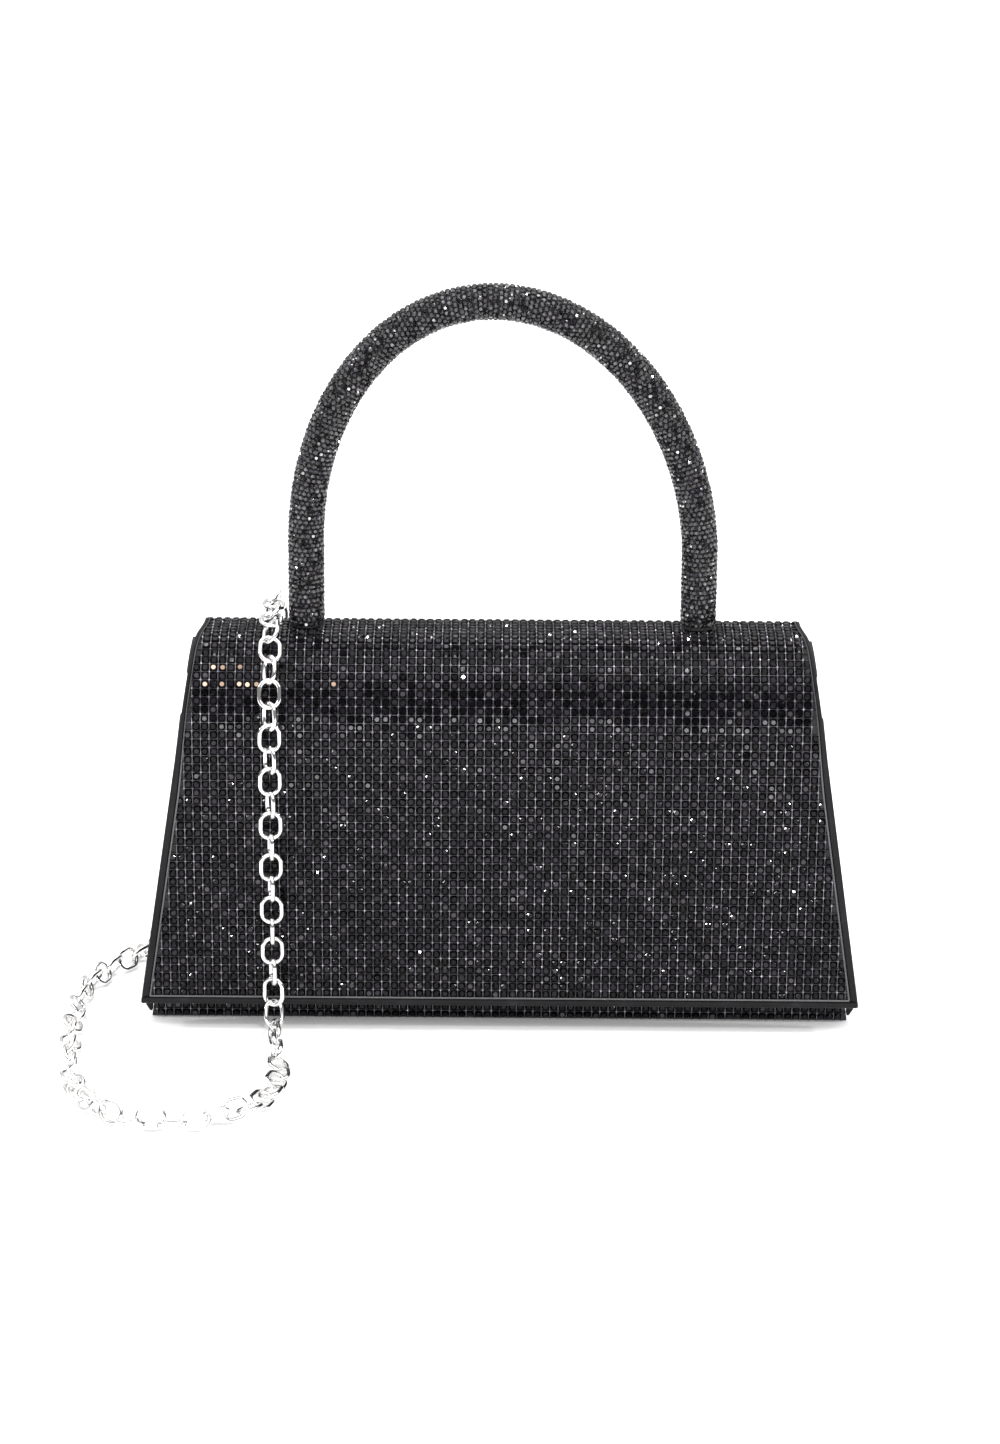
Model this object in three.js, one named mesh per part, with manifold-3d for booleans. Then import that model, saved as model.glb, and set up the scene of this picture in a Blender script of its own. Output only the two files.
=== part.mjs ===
// Evening bag: a stiff wedge-shaped box with a stone-set cover, a formed flap that carries an
// arched handle, and a chain strap. Millimetres, +Z up, X to the right, the front faces -Y.
// The origin is on the floor under the middle of the bag, the chain left out.
import * as THREE from "three";
import { mergeVertices } from "three/addons/utils/BufferGeometryUtils.js";
import Module from "manifold-3d";

// ---- Driving dimensions -------------------------------------------------------------------

const bagHeight = 118; // floor to the flap's flat top
const frontFaceY = -21; // front cover, upright
const backFootY = 30; // back cover at the floor
const backSlope = 0.2; // back cover comes forward this much for each millimetre of height
const baseHalfWidth = 104; // front cover at the floor
const sideSlope = 0.13; // each side comes in this much for each millimetre of height
const frontDrop = 22; // flap's top to the front edge of the mouth

const coverThick = 1.6; // stone-set mesh on its backing
const boardThick = 2; // body stiffener
const liningThick = 0.8;
const gap = 0.3; // glue line between two layers
const bindingThick = 1.5; // tape over the mouth's edges
const flangeWidth = 2.1; // seam allowance that stands out at each side of the front
const flangeDepth = 2.6;
const flangeFoot = 1.8; // flange's lower end above the floor
const flangeFootShare = 0.4; // of its width, at its cut lower end
const pocketThick = 1.2;
const pocketHalfWidth = 62;
const pocketFoot = 22;
const pocketHeight = 52;

const flapStandOff = 8.8; // front cover to the flap's upright outer face
const flapLowerZ = 8;
const flapOverhang = 2.6; // each side at the flap's lower edge, past the base
const flapSlope = 0.1495; // each side of the flap comes in this much per millimetre of height
const flapBoardThick = 1.6;
const flapTopDepth = 11; // flat strip that carries the handle
const rollHeight = 27; // rounded shoulder, top to foot
const bowDepth = 1.5; // how far the front leans back at the foot of the shoulder
const bowFootZ = 50; // height below which the front is upright
const flapBindingWidth = 2.2;
const bindingProud = 0.2; // edge binding stands past the layers on both faces
const hingeRadius = 4.5; // fold of the cover over the back edge
const hingeTailLength = 6; // strip's overlap down the back
const lidClearance = 1; // closed flap to the mouth

const snapHeight = 34;
const snapRadius = 7;
const snapThick = 1.7;
const snapEdge = 0.5; // chamfer round a snap's face
const bossRadius = 2;
const bossHeight = 1.3;
const bossClearance = 1.1;
const socketFloor = 0.4; // metal left behind the socket's hole
const postRadius = 1.5;
const postClearance = 0.4;
const washerRadius = 4.6;
const washerThick = 0.8;
const recessClearance = 0.3;

const handleHalfWidth = 57.5; // middle of the tube
const handleLegHeight = 23;
const handleArchRise = 74.9; // middle of the tube, above the legs
const handleLean = 3.1; // the arch leans to the left by this much at its top
const handleTubeRadius = 5.3;
const handleSleeveThick = 1.2;
const handleWireRadius = 1.5;
const handleSegments = 44;
const handleSides = 16;
const wireClearance = 0.5; // wire to its hole through the flap's layers
const nutRadius = 4.5;
const nutThick = 2.4;

const ringWire = 1; // radius
const ringHalfWidth = 6.5;
const ringHeight = 11;
const ringX = 67;
const bowFullness = 0.8; // below 1 squares the shoulders of a ring's bow
const tabHalfWidth = 5;
const tabHeight = 19; // eyelet's axis to the tab's lower end
const tabThick = 1.2;
const tabDrop = 9.5; // hinge strip's foot to the tab's upper end
const eyeletClearance = 0.35;
const eyeletOverlap = 0.2; // radians that the eyelet's round runs on past the tab's face
const rivetRadius = 2;
const rivetThick = 0.9;
const rivetPostRadius = 1;

const chainRadius = 3.6; // half of a link's width
const coilX = -28;
const coilY = 88;
const coilRadius = 36; // middle of the turns
const coilFloor = 1.3; // room for the tie below the turns
const coilHeight = 18;
const tieWidth = 7;
const tieThick = 0.8;
const tieClearance = 0.5;

// ---- Worked out from them -----------------------------------------------------------------

const backY = (z) => backFootY - backSlope * z;
const sideX = (z) => baseHalfWidth - sideSlope * z;
const flapX = (z) => baseHalfWidth + flapOverhang - flapSlope * (z - flapLowerZ);

const frontHeight = bagHeight - frontDrop;
const flapFrontY = frontFaceY - flapStandOff;
const boardStart = coverThick + gap;
const boardEnd = boardStart + boardThick;
const liningStart = boardEnd + gap;
const wallThick = liningStart + liningThick;
const flapLiningStart = boardStart + flapBoardThick + gap;
const flapThick = flapLiningStart + liningThick;

const hingeZ = bagHeight - hingeRadius;
const hingeY = backY(hingeZ);
const flapBackY = hingeY - hingeRadius;
const flapShoulderY = flapBackY - flapTopDepth;
const rollDepth = flapShoulderY - flapFrontY - bowDepth;
const rollFootZ = bagHeight - rollHeight;
const mouthInset = flapThick + lidClearance;
const mouthZ = bagHeight - mouthInset;
const stripFootZ = hingeZ - hingeTailLength;

const handleLegZ = bagHeight + gap;
const handleCentreZ = bagHeight + handleLegHeight;
const handleY = backY(mouthZ) - wallThick - gap - nutRadius; // its nuts clear the back's lining
const wireHole = handleWireRadius + wireClearance;
const flapInnerFrontY = flapFrontY + flapThick;
const bossHole = bossRadius + bossClearance;
const postHole = postRadius + postClearance;

const leanAngle = Math.atan(backSlope);
const eyeletHole = ringWire + eyeletClearance;
const eyeletRadius = eyeletHole + tabThick;
const eyeletZ = stripFootZ - tabDrop + eyeletRadius;
const eyeletY = backY(eyeletZ) + gap + eyeletRadius;

// ---- Materials ----------------------------------------------------------------------------

const finish = (color, roughness, metalness) =>
  new THREE.MeshStandardMaterial({ color, roughness, metalness });
const stoneMesh = finish(0x17161a, 0.25, 0.2);
const boardGrey = finish(0x8a8378, 0.9, 0);
const liningCloth = finish(0x26242a, 0.8, 0);
const bindingBlack = finish(0x1c1b1e, 0.5, 0);
const nickel = finish(0xd9d8d6, 0.15, 1);
const foam = finish(0x3a3a3c, 0.95, 0);
const paperTie = finish(0xf2f0ea, 0.8, 0);

// ---- Making and cutting solids ------------------------------------------------------------

const through = 1; // a cutting tool runs past the faces it cuts by this much

const wasm = await Module();
wasm.setup();

const bag = new THREE.Group();

function add(name, geometry, material) {
  const mesh = new THREE.Mesh(geometry, material);
  mesh.name = name;
  bag.add(mesh);
  return mesh;
}

function toSolid(geometry) {
  const plain = geometry.clone();
  plain.deleteAttribute("normal");
  plain.deleteAttribute("uv");
  const merged = mergeVertices(plain, 1e-4);
  return new wasm.Manifold(
    new wasm.Mesh({
      numProp: 3,
      vertProperties: merged.attributes.position.array,
      triVerts: new Uint32Array(merged.index.array),
    }),
  );
}

function toGeometry(solid) {
  const mesh = solid.getMesh();
  const geometry = new THREE.BufferGeometry();
  geometry.setAttribute("position", new THREE.BufferAttribute(mesh.vertProperties, 3));
  geometry.setIndex(new THREE.BufferAttribute(mesh.triVerts, 1));
  return geometry;
}

function cut(geometry, ...tools) {
  let solid = toSolid(geometry);
  for (const tool of tools) solid = solid.subtract(toSolid(tool));
  return toGeometry(solid);
}

const common = (a, b) => toGeometry(toSolid(a).intersect(toSolid(b)));

const outline = (points) => new THREE.Shape(points.map(([u, v]) => new THREE.Vector2(u, v)));

// A front-view outline in X and Z, thick from y0 to y1.
function frontPlate(shape, y0, y1) {
  const plate = new THREE.ExtrudeGeometry(shape, { depth: y1 - y0, bevelEnabled: false });
  return plate.rotateX(Math.PI / 2).translate(0, y1, 0);
}

// A side-view outline in Y and Z, thick from x0 to x1.
function sidePlate(shape, x0, x1) {
  const plate = new THREE.ExtrudeGeometry(shape, { depth: x1 - x0, bevelEnabled: false });
  const turn = new THREE.Matrix4().makeBasis(
    new THREE.Vector3(0, 1, 0),
    new THREE.Vector3(0, 0, 1),
    new THREE.Vector3(1, 0, 0),
  );
  return plate.applyMatrix4(turn).translate(x0, 0, 0);
}

// Leaning a plate slides each level along X or Y and leaves its height as it was.
const leanX = (geometry, slope) =>
  geometry.applyMatrix4(new THREE.Matrix4().makeShear(0, 0, 0, 0, slope, 0));
const leanY = (geometry, slope) =>
  geometry.applyMatrix4(new THREE.Matrix4().makeShear(0, 0, 0, 0, 0, slope));

const mirrored = (geometry) => {
  const copy = geometry.index ? geometry.toNonIndexed() : geometry.clone();
  copy.scale(-1, 1, 1);
  const places = copy.attributes.position;
  const corner = new THREE.Vector3();
  const other = new THREE.Vector3();
  for (let i = 0; i < places.count; i += 3) {
    corner.fromBufferAttribute(places, i + 1);
    other.fromBufferAttribute(places, i + 2);
    places.setXYZ(i + 1, other.x, other.y, other.z);
    places.setXYZ(i + 2, corner.x, corner.y, corner.z);
  }
  return copy;
};

// One piece at each side: the drawn one is on the right.
function addPair(name, geometry, material) {
  add(name + "_right", geometry, material);
  add(name + "_left", mirrored(geometry), material);
}

// A closed tube along points that come back to the first one.
function closedTube(points, radius, sides) {
  const curve = new THREE.CatmullRomCurve3(points, true, "centripetal");
  const steps = points.length * 2;
  const frames = curve.computeFrenetFrames(steps, true);
  const places = [];
  const faces = [];
  for (let i = 0; i < steps; i++) {
    const centre = curve.getPointAt(i / steps);
    for (let j = 0; j < sides; j++) {
      const angle = (2 * Math.PI * j) / sides;
      const spoke = frames.normals[i].clone().multiplyScalar(radius * Math.cos(angle));
      spoke.addScaledVector(frames.binormals[i], radius * Math.sin(angle));
      places.push(...centre.clone().add(spoke).toArray());
      const a = i * sides + j;
      const b = i * sides + ((j + 1) % sides);
      const c = ((i + 1) % steps) * sides + j;
      const d = ((i + 1) % steps) * sides + ((j + 1) % sides);
      faces.push(a, b, c, b, d, c);
    }
  }
  const tube = new THREE.BufferGeometry();
  tube.setAttribute("position", new THREE.Float32BufferAttribute(places, 3));
  tube.setIndex(faces);
  return tube;
}

function roundSection(radius, sides, hole = 0) {
  const ring = (r) =>
    Array.from({ length: sides }, (_, i) => {
      const angle = (2 * Math.PI * i) / sides;
      return new THREE.Vector2(r * Math.cos(angle), r * Math.sin(angle));
    });
  const section = new THREE.Shape(ring(radius));
  if (hole > 0) section.holes.push(new THREE.Path(ring(hole).reverse()));
  return section;
}

const tubeAlong = (curve, steps, section) =>
  new THREE.ExtrudeGeometry(section, { steps, extrudePath: curve, bevelEnabled: false });

// A round bar along Y or along Z, closed at both ends.
const barY = (radius, x, z, y0, y1, sides = 24) =>
  new THREE.CylinderGeometry(radius, radius, y1 - y0, sides).translate(x, (y0 + y1) / 2, z);
const barZ = (radius, x, y, z0, z1, sides = 24) =>
  new THREE.CylinderGeometry(radius, radius, z1 - z0, sides)
    .rotateX(Math.PI / 2)
    .translate(x, y, (z0 + z1) / 2);

// ---- The flap's side profile --------------------------------------------------------------

const frontBow = (z) =>
  flapFrontY + bowDepth * Math.pow(Math.max(0, (z - bowFootZ) / (rollFootZ - bowFootZ)), 2);

// Outer profile from the back edge, over the shoulder and down to lowerZ, in Y and Z.
function flapProfile(lowerZ) {
  const rollSteps = 12;
  const frontSteps = 6;
  const points = [new THREE.Vector2(flapBackY, bagHeight)];
  for (let i = 0; i <= rollSteps; i++) {
    const angle = ((i / rollSteps) * Math.PI) / 2;
    const y = flapShoulderY - rollDepth * Math.sin(angle);
    points.push(new THREE.Vector2(y, rollFootZ + rollHeight * Math.cos(angle)));
  }
  for (let i = 1; i <= frontSteps; i++) {
    const z = THREE.MathUtils.lerp(rollFootZ, lowerZ, i / frontSteps);
    points.push(new THREE.Vector2(frontBow(z), z));
  }
  return points;
}

// The same profile, set in by a distance towards the inside of the bag.
function inset(profile, distance) {
  return profile.map((point, i) => {
    const ahead = profile[Math.min(i + 1, profile.length - 1)];
    const behind = profile[Math.max(i - 1, 0)];
    const along = ahead.clone().sub(behind).normalize();
    if (i === 0) along.set(-1, 0);
    return new THREE.Vector2(point.x - along.y * distance, point.y + along.x * distance);
  });
}

// A bent sheet between two insets of one profile. Its edges are at x0 and x1, by height.
function bentSheet(profile, outerInset, innerInset, x0, x1) {
  const outer = inset(profile, outerInset);
  const inner = inset(profile, innerInset);
  const places = [];
  profile.forEach((point, i) => {
    const left = x0(point.y);
    const right = x1(point.y);
    places.push(left, outer[i].x, outer[i].y, right, outer[i].x, outer[i].y);
    places.push(left, inner[i].x, inner[i].y, right, inner[i].x, inner[i].y);
  });
  const faces = [];
  const quad = (a, b, c, d) => faces.push(a, b, c, a, c, d);
  for (let i = 0; i + 1 < profile.length; i++) {
    const p = 4 * i;
    const q = p + 4;
    quad(p, q, q + 1, p + 1);
    quad(p + 2, p + 3, q + 3, q + 2);
    quad(p, p + 2, q + 2, q);
    quad(p + 1, q + 1, q + 3, p + 3);
  }
  const end = 4 * (profile.length - 1);
  quad(0, 1, 3, 2);
  quad(end, end + 2, end + 3, end + 1);
  const sheet = new THREE.BufferGeometry();
  sheet.setAttribute("position", new THREE.Float32BufferAttribute(places, 3));
  sheet.setIndex(faces);
  return sheet;
}

// ---- Body ---------------------------------------------------------------------------------

// Everything below the closed flap's lining, set in by a distance.
function underFlap(distance) {
  const roof = inset(flapProfile(flapLowerZ), distance);
  const backLimit = backFootY + wallThick;
  const points = [[backLimit, 0], [backLimit, roof[0].y]];
  for (const point of roof) points.push([point.x, point.y]);
  points.push([roof[roof.length - 1].x, 0]);
  return sidePlate(outline(points), -2 * baseHalfWidth, 2 * baseHalfWidth);
}

// Upright trapezoid from foot to top, its sides set in from the bag's side.
const trapezoid = (foot, top, setIn) =>
  outline([
    [setIn - sideX(foot), foot],
    [sideX(foot) - setIn, foot],
    [sideX(top) - setIn, top],
    [setIn - sideX(top), top],
  ]);

function frontWall(start, thick) {
  const top = frontHeight - bindingThick - gap;
  return frontPlate(trapezoid(start, top, start), frontFaceY + start, frontFaceY + start + thick);
}

function backWall(start, thick, top) {
  const face = backFootY - start;
  return leanY(frontPlate(trapezoid(start, top, start), face - thick, face), -backSlope);
}

// Side-view outline between the front and back walls of one layer.
function gussetOutline(foot, setIn) {
  const front = frontFaceY + setIn;
  return outline([
    [front, foot],
    [backY(foot) - setIn, foot],
    [backY(mouthZ) - setIn, mouthZ],
    [front, mouthZ],
  ]);
}

function gussetWall(start, thick) {
  const face = baseHalfWidth - start;
  const blank = sidePlate(gussetOutline(start, start + thick + gap), face - thick, face);
  return common(leanX(blank, -sideSlope), underFlap(mouthInset + bindingThick + gap));
}

function baseWall(start, thick) {
  const level = start + thick;
  const halfWidth = sideX(level) - level - gap;
  const front = frontFaceY + level + gap;
  const back = backY(level) - level - gap;
  const rim = outline([
    [-halfWidth, front],
    [halfWidth, front],
    [halfWidth, back],
    [-halfWidth, back],
  ]);
  const plate = new THREE.ExtrudeGeometry(rim, { depth: thick, bevelEnabled: false });
  return plate.translate(0, 0, start);
}

function addBody() {
  const boardBackY = frontFaceY + boardEnd;
  const recessY = boardBackY - washerThick - recessClearance;
  const recessRadius = washerRadius + recessClearance;
  const postPath = barY(postHole, 0, snapHeight, frontFaceY - through, boardBackY + through);
  const washerRecess = barY(recessRadius, 0, snapHeight, recessY, boardBackY + through);
  add("front_cover", cut(frontWall(0, coverThick), postPath), stoneMesh);
  add("front_board", cut(frontWall(boardStart, boardThick), postPath, washerRecess), boardGrey);
  add("front_lining", frontWall(liningStart, liningThick), liningCloth);

  add("back_cover", backWall(0, coverThick, stripFootZ - gap), stoneMesh);
  add("back_board", backWall(boardStart, boardThick, mouthZ), boardGrey);
  add("back_lining", backWall(liningStart, liningThick, mouthZ), liningCloth);

  const layers = [
    ["cover", 0, coverThick, stoneMesh],
    ["board", boardStart, boardThick, boardGrey],
    ["lining", liningStart, liningThick, liningCloth],
  ];
  for (const [layer, start, thick, material] of layers) {
    addPair("gusset_" + layer, gussetWall(start, thick), material);
    add("base_" + layer, baseWall(start, thick), material);
  }
}

function addTrim() {
  const cornerZ = flangeFoot + flangeWidth;
  const cornerX = sideX(cornerZ) + gap;
  const topX = sideX(frontHeight) + gap;
  const flange = outline([
    [cornerX, flangeFoot],
    [cornerX + flangeWidth * flangeFootShare, flangeFoot],
    [cornerX + flangeWidth, cornerZ],
    [topX + flangeWidth, frontHeight],
    [topX, frontHeight],
    [cornerX, cornerZ],
  ]);
  addPair("seam_flange", frontPlate(flange, frontFaceY, frontFaceY + flangeDepth), bindingBlack);

  const foot = frontHeight - bindingThick;
  const betweenGussets = trapezoid(foot, frontHeight, wallThick + gap);
  const lip = frontPlate(betweenGussets, frontFaceY, frontFaceY + wallThick);
  add("mouth_binding_front", lip, bindingBlack);

  const blank = sidePlate(
    gussetOutline(wallThick, wallThick + gap),
    baseHalfWidth - wallThick,
    baseHalfWidth + flangeWidth,
  );
  const rim = common(leanX(blank, -sideSlope), underFlap(mouthInset));
  addPair("mouth_binding", cut(rim, underFlap(mouthInset + bindingThick)), bindingBlack);

  const pocket = outline([
    [-pocketHalfWidth, pocketFoot],
    [pocketHalfWidth, pocketFoot],
    [pocketHalfWidth, pocketFoot + pocketHeight],
    [-pocketHalfWidth, pocketFoot + pocketHeight],
  ]);
  const pocketBack = backFootY - wallThick - gap;
  const patch = leanY(frontPlate(pocket, pocketBack - pocketThick, pocketBack), -backSlope);
  add("slip_pocket", patch, liningCloth);
}

// Strip of stone mesh that folds over the back edge and joins the flap to the back.
function addHingeStrip() {
  const arcSteps = 8;
  const points = [];
  for (let i = 0; i <= arcSteps; i++) {
    const angle = (i / arcSteps) * (Math.PI / 2 - leanAngle);
    points.push([Math.sin(angle), Math.cos(angle)]);
  }
  const fold = (radius) =>
    points.map(([across, up]) => [flapBackY + gap + radius * across, hingeZ + radius * up]);
  const outer = fold(hingeRadius);
  const inner = fold(hingeRadius - coverThick);
  const drop = hingeZ - stripFootZ;
  const tail = ([y, z]) => [y + drop * backSlope, z - drop];
  outer.push(tail(outer[arcSteps]));
  inner.push(tail(inner[arcSteps]));
  const halfWidth = flapX(bagHeight);
  const strip = sidePlate(outline([...inner, ...outer.reverse()]), -halfWidth, halfWidth);
  add("hinge_strip", strip, stoneMesh);
}

// ---- Flap ---------------------------------------------------------------------------------

function addFlap() {
  const setIn = flapBindingWidth + gap;
  const edge = (z) => flapX(z) - setIn;
  const profile = flapProfile(flapLowerZ + setIn);
  const sheet = (from, thick) => bentSheet(profile, from, from + thick, (z) => -edge(z), edge);

  const wireHoles = [-1, 1].map((side) => {
    const x = side * handleHalfWidth;
    return barZ(wireHole, x, handleY, bagHeight - 2 * flapThick, bagHeight + through);
  });
  const boardFace = flapInnerFrontY - liningThick - gap;
  const recessY = boardFace - washerThick - recessClearance;
  const recessRadius = washerRadius + recessClearance;
  const postPath = barY(postHole, 0, snapHeight, recessY, flapInnerFrontY + through);
  const washerRecess = barY(recessRadius, 0, snapHeight, recessY, boardFace + gap / 2);
  add("flap_cover", cut(sheet(0, coverThick), ...wireHoles), stoneMesh);
  add("flap_board", cut(sheet(boardStart, flapBoardThick), ...wireHoles, washerRecess), boardGrey);
  add("flap_lining", cut(sheet(flapLiningStart, liningThick), ...wireHoles, postPath), liningCloth);

  const inner = flapThick + bindingProud;
  const stripEdge = (z) => flapX(z) - flapBindingWidth;
  const sideStrip = bentSheet(profile, -bindingProud, inner, stripEdge, flapX);
  addPair("flap_binding", sideStrip, bindingBlack);

  const hemTop = flapLowerZ + flapBindingWidth;
  const hem = outline([
    [-flapX(flapLowerZ), flapLowerZ],
    [flapX(flapLowerZ), flapLowerZ],
    [flapX(hemTop), hemTop],
    [-flapX(hemTop), hemTop],
  ]);
  const hemBand = frontPlate(hem, flapFrontY - bindingProud, flapFrontY + inner);
  add("flap_binding_front", hemBand, bindingBlack);
}

// Magnetic snap: the socket is on the front of the body, the stud inside the flap.
function addSnap() {
  const socketFace = frontFaceY - gap - snapThick;
  const socketEnd = gap + boardEnd - recessClearance;
  const turned = (profile) => {
    const points = profile.map(([radius, along]) => new THREE.Vector2(radius, along));
    return new THREE.LatheGeometry(points, 24);
  };
  const socket = turned([
    [bossHole, -snapThick],
    [snapRadius - snapEdge, -snapThick],
    [snapRadius, snapEdge - snapThick],
    [snapRadius, 0],
    [postRadius, 0],
    [postRadius, socketEnd],
    [postRadius / 2, socketEnd],
    [postRadius / 2, -socketFloor],
    [bossHole, -socketFloor],
    [bossHole, -snapThick],
  ]);
  add("snap_socket", socket.translate(0, frontFaceY - gap, snapHeight), nickel);

  // A washer whose inner face lies in the recess that ends at this face of the board.
  const washer = (boardFace) => {
    const y = boardFace - washerThick - recessClearance / 2;
    return cut(
      barY(washerRadius, 0, snapHeight, y, y + washerThick),
      barY(postHole, 0, snapHeight, y - through, y + washerThick + through),
    );
  };
  add("snap_socket_washer", washer(frontFaceY + boardEnd), nickel);

  const studFace = flapInnerFrontY + gap;
  const postEnd = flapInnerFrontY - liningThick - gap - washerThick;
  const studPlate = socketFace - gap - studFace;
  const stud = turned([
    [0, postEnd - studFace],
    [postRadius, postEnd - studFace],
    [postRadius, 0],
    [snapRadius, 0],
    [snapRadius, studPlate - snapEdge],
    [snapRadius - snapEdge, studPlate],
    [bossRadius, studPlate],
    [bossRadius, studPlate + bossHeight],
    [0, studPlate + bossHeight],
  ]);
  add("snap_stud", stud.translate(0, studFace, snapHeight), nickel);
  add("snap_stud_washer", washer(flapInnerFrontY - liningThick - gap), nickel);
}

// ---- Handle -------------------------------------------------------------------------------

// Half an ellipse on two straight legs, from one foot height to the other.
function handleCurve(footZ) {
  const path = new THREE.CurvePath();
  const reach = handleHalfWidth;
  const at = (x, z) => new THREE.Vector3(x, handleY, z);
  const arcPoints = [];
  const arcSteps = 32;
  for (let i = 0; i <= arcSteps; i++) {
    const angle = Math.PI * (1 - i / arcSteps);
    const lift = Math.sin(angle);
    const x = reach * Math.cos(angle) - handleLean * Math.pow(lift, 1.2);
    arcPoints.push(at(x, handleCentreZ + handleArchRise * lift));
  }
  path.add(new THREE.LineCurve3(at(-reach, footZ), at(-reach, handleCentreZ)));
  path.add(new THREE.CatmullRomCurve3(arcPoints));
  path.add(new THREE.LineCurve3(at(reach, handleCentreZ), at(reach, footZ)));
  return path;
}

function addHandle() {
  const sleeveInner = handleTubeRadius - handleSleeveThick;
  const coreOuter = sleeveInner - gap;
  const coreInner = handleWireRadius + gap;
  const nutTopZ = bagHeight - flapThick - gap;
  const sleeve = roundSection(handleTubeRadius, handleSides, sleeveInner);
  const core = roundSection(coreOuter, 10, coreInner);
  const wire = roundSection(handleWireRadius, 8);
  add("handle_cover", tubeAlong(handleCurve(handleLegZ), handleSegments, sleeve), stoneMesh);
  add("handle_core", tubeAlong(handleCurve(handleLegZ), handleSegments, core), foam);
  add("handle_wire", tubeAlong(handleCurve(nutTopZ - nutThick), handleSegments, wire), nickel);
  const nut = cut(
    barZ(nutRadius, handleHalfWidth, handleY, nutTopZ - nutThick, nutTopZ, 6),
    barZ(wireHole, handleHalfWidth, handleY, nutTopZ - nutThick - through, nutTopZ + through),
  );
  addPair("handle_nut", nut, nickel);
}

// ---- Strap rings and tabs on the back -----------------------------------------------------

function addStrapFittings() {
  // Drawn upright with the eyelet's axis at the origin, then leaned with the back.
  const inFace = -eyeletRadius;
  const outFace = inFace + tabThick;
  const tabSide = new THREE.Shape();
  tabSide.moveTo(inFace, -tabHeight);
  tabSide.lineTo(outFace, -tabHeight);
  tabSide.lineTo(outFace, -eyeletHole);
  tabSide.absarc(0, 0, eyeletRadius, -Math.PI / 2 - eyeletOverlap, Math.PI, false);
  tabSide.lineTo(inFace, -tabHeight);
  tabSide.holes.push(new THREE.Path().absarc(0, 0, eyeletHole, 0, 2 * Math.PI, true));
  const rivetZ = -tabHeight + 2 * rivetRadius;
  const rivetHole = rivetPostRadius + gap;
  const headFace = outFace + gap;
  const tab = cut(
    sidePlate(tabSide, ringX - tabHalfWidth, ringX + tabHalfWidth),
    barY(rivetHole, ringX, rivetZ, inFace - through, outFace + through, 12),
  );
  const head = barY(rivetRadius, ringX, rivetZ, headFace, headFace + rivetThick, 16);
  const postEnd = headFace + rivetThick / 4;
  const post = barY(rivetPostRadius, ringX, rivetZ, inFace + gap / 2, postEnd, 12);
  const rivet = toGeometry(toSolid(head).add(toSolid(post)));
  const onBack = (geometry) => geometry.rotateX(leanAngle).translate(0, eyeletY, eyeletZ);
  addPair("strap_tab", onBack(tab), bindingBlack);
  addPair("strap_tab_rivet", onBack(rivet), nickel);

  // A D: straight bar through the eyelet, round bow at the other side.
  const bow = [];
  const bowSteps = 8;
  for (let i = 0; i <= bowSteps; i++) {
    const angle = (Math.PI * i) / bowSteps;
    const reach = ringHeight * Math.pow(Math.sin(angle), bowFullness);
    bow.push(new THREE.Vector3(ringHalfWidth * Math.cos(angle), 0, reach));
  }
  bow.push(new THREE.Vector3(-ringHalfWidth / 2, 0, 0), new THREE.Vector3(ringHalfWidth / 2, 0, 0));
  const ring = closedTube(bow, ringWire, 8);
  const standing = ring.clone().translate(-ringX, eyeletY, eyeletZ);
  const hanging = ring.clone().rotateX(Math.PI + leanAngle).translate(ringX, eyeletY, eyeletZ);
  add("strap_ring_left", standing, nickel);
  add("strap_ring_right", hanging, nickel);
}

// ---- Chain strap, lying free --------------------------------------------------------------

// From the left ring over the top, down the front, round on the floor and behind the bag.
const frontRun = [
  [-67, 12.8, 113],
  [-67.1, 12.5, 117],
  [-67.2, 9.8, 120.8],
  [-67.3, 4, 122.3],
  [-67.4, -3, 122.3],
  [-67.4, -10.5, 122.1],
  [-67.3, -18.2, 119.9],
  [-67.3, -26.1, 112.9],
  [-67.2, -31.2, 102.7],
  [-67.2, -32.9, 90],
  [-67.1, -34, 72],
  [-67.1, -34.3, 52],
  [-67, -34.3, 34],
  [-66.9, -34.3, 18],
  [-66.6, -36, 8.6],
  [-66.2, -42, 4.2],
  [-65, -53, 3.8],
  [-63.8, -68, 3.8],
  [-67.4, -82.5, 3.8],
  [-77, -95, 3.8],
  [-90, -99, 3.8],
  [-104, -98, 3.8],
  [-115, -90.5, 3.8],
  [-122, -75, 3.8],
  [-125, -57, 3.8],
  [-126.6, -36, 3.8],
  [-126.4, -21, 3.8],
  [-124.6, -7, 3.8],
  [-120.8, 4.5, 3.8],
  [-115.2, 13, 3.8],
  [-110.4, 20.3, 3.8],
  [-108.3, 29.5, 3.8],
  [-104.5, 38.5, 3.8],
  [-95, 45.5, 3.8],
  [-82, 49.5, 3.9],
  [-68, 51.4, 4.3],
  [-54, 52, 4.8],
];

// From the coil, down to the floor and up the back to the right ring.
const backRise = [
  [-2, 52, 17.6],
  [10, 51, 12.6],
  [24, 48.6, 6.2],
  [40, 45, 4.2],
  [54, 40.6, 4.2],
  [63.5, 36.4, 9.6],
  [66.6, 32.6, 20],
  [67, 27.4, 36],
  [67, 23.8, 56],
  [67, 21.4, 74],
  [67, 20, 86.6],
];

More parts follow.
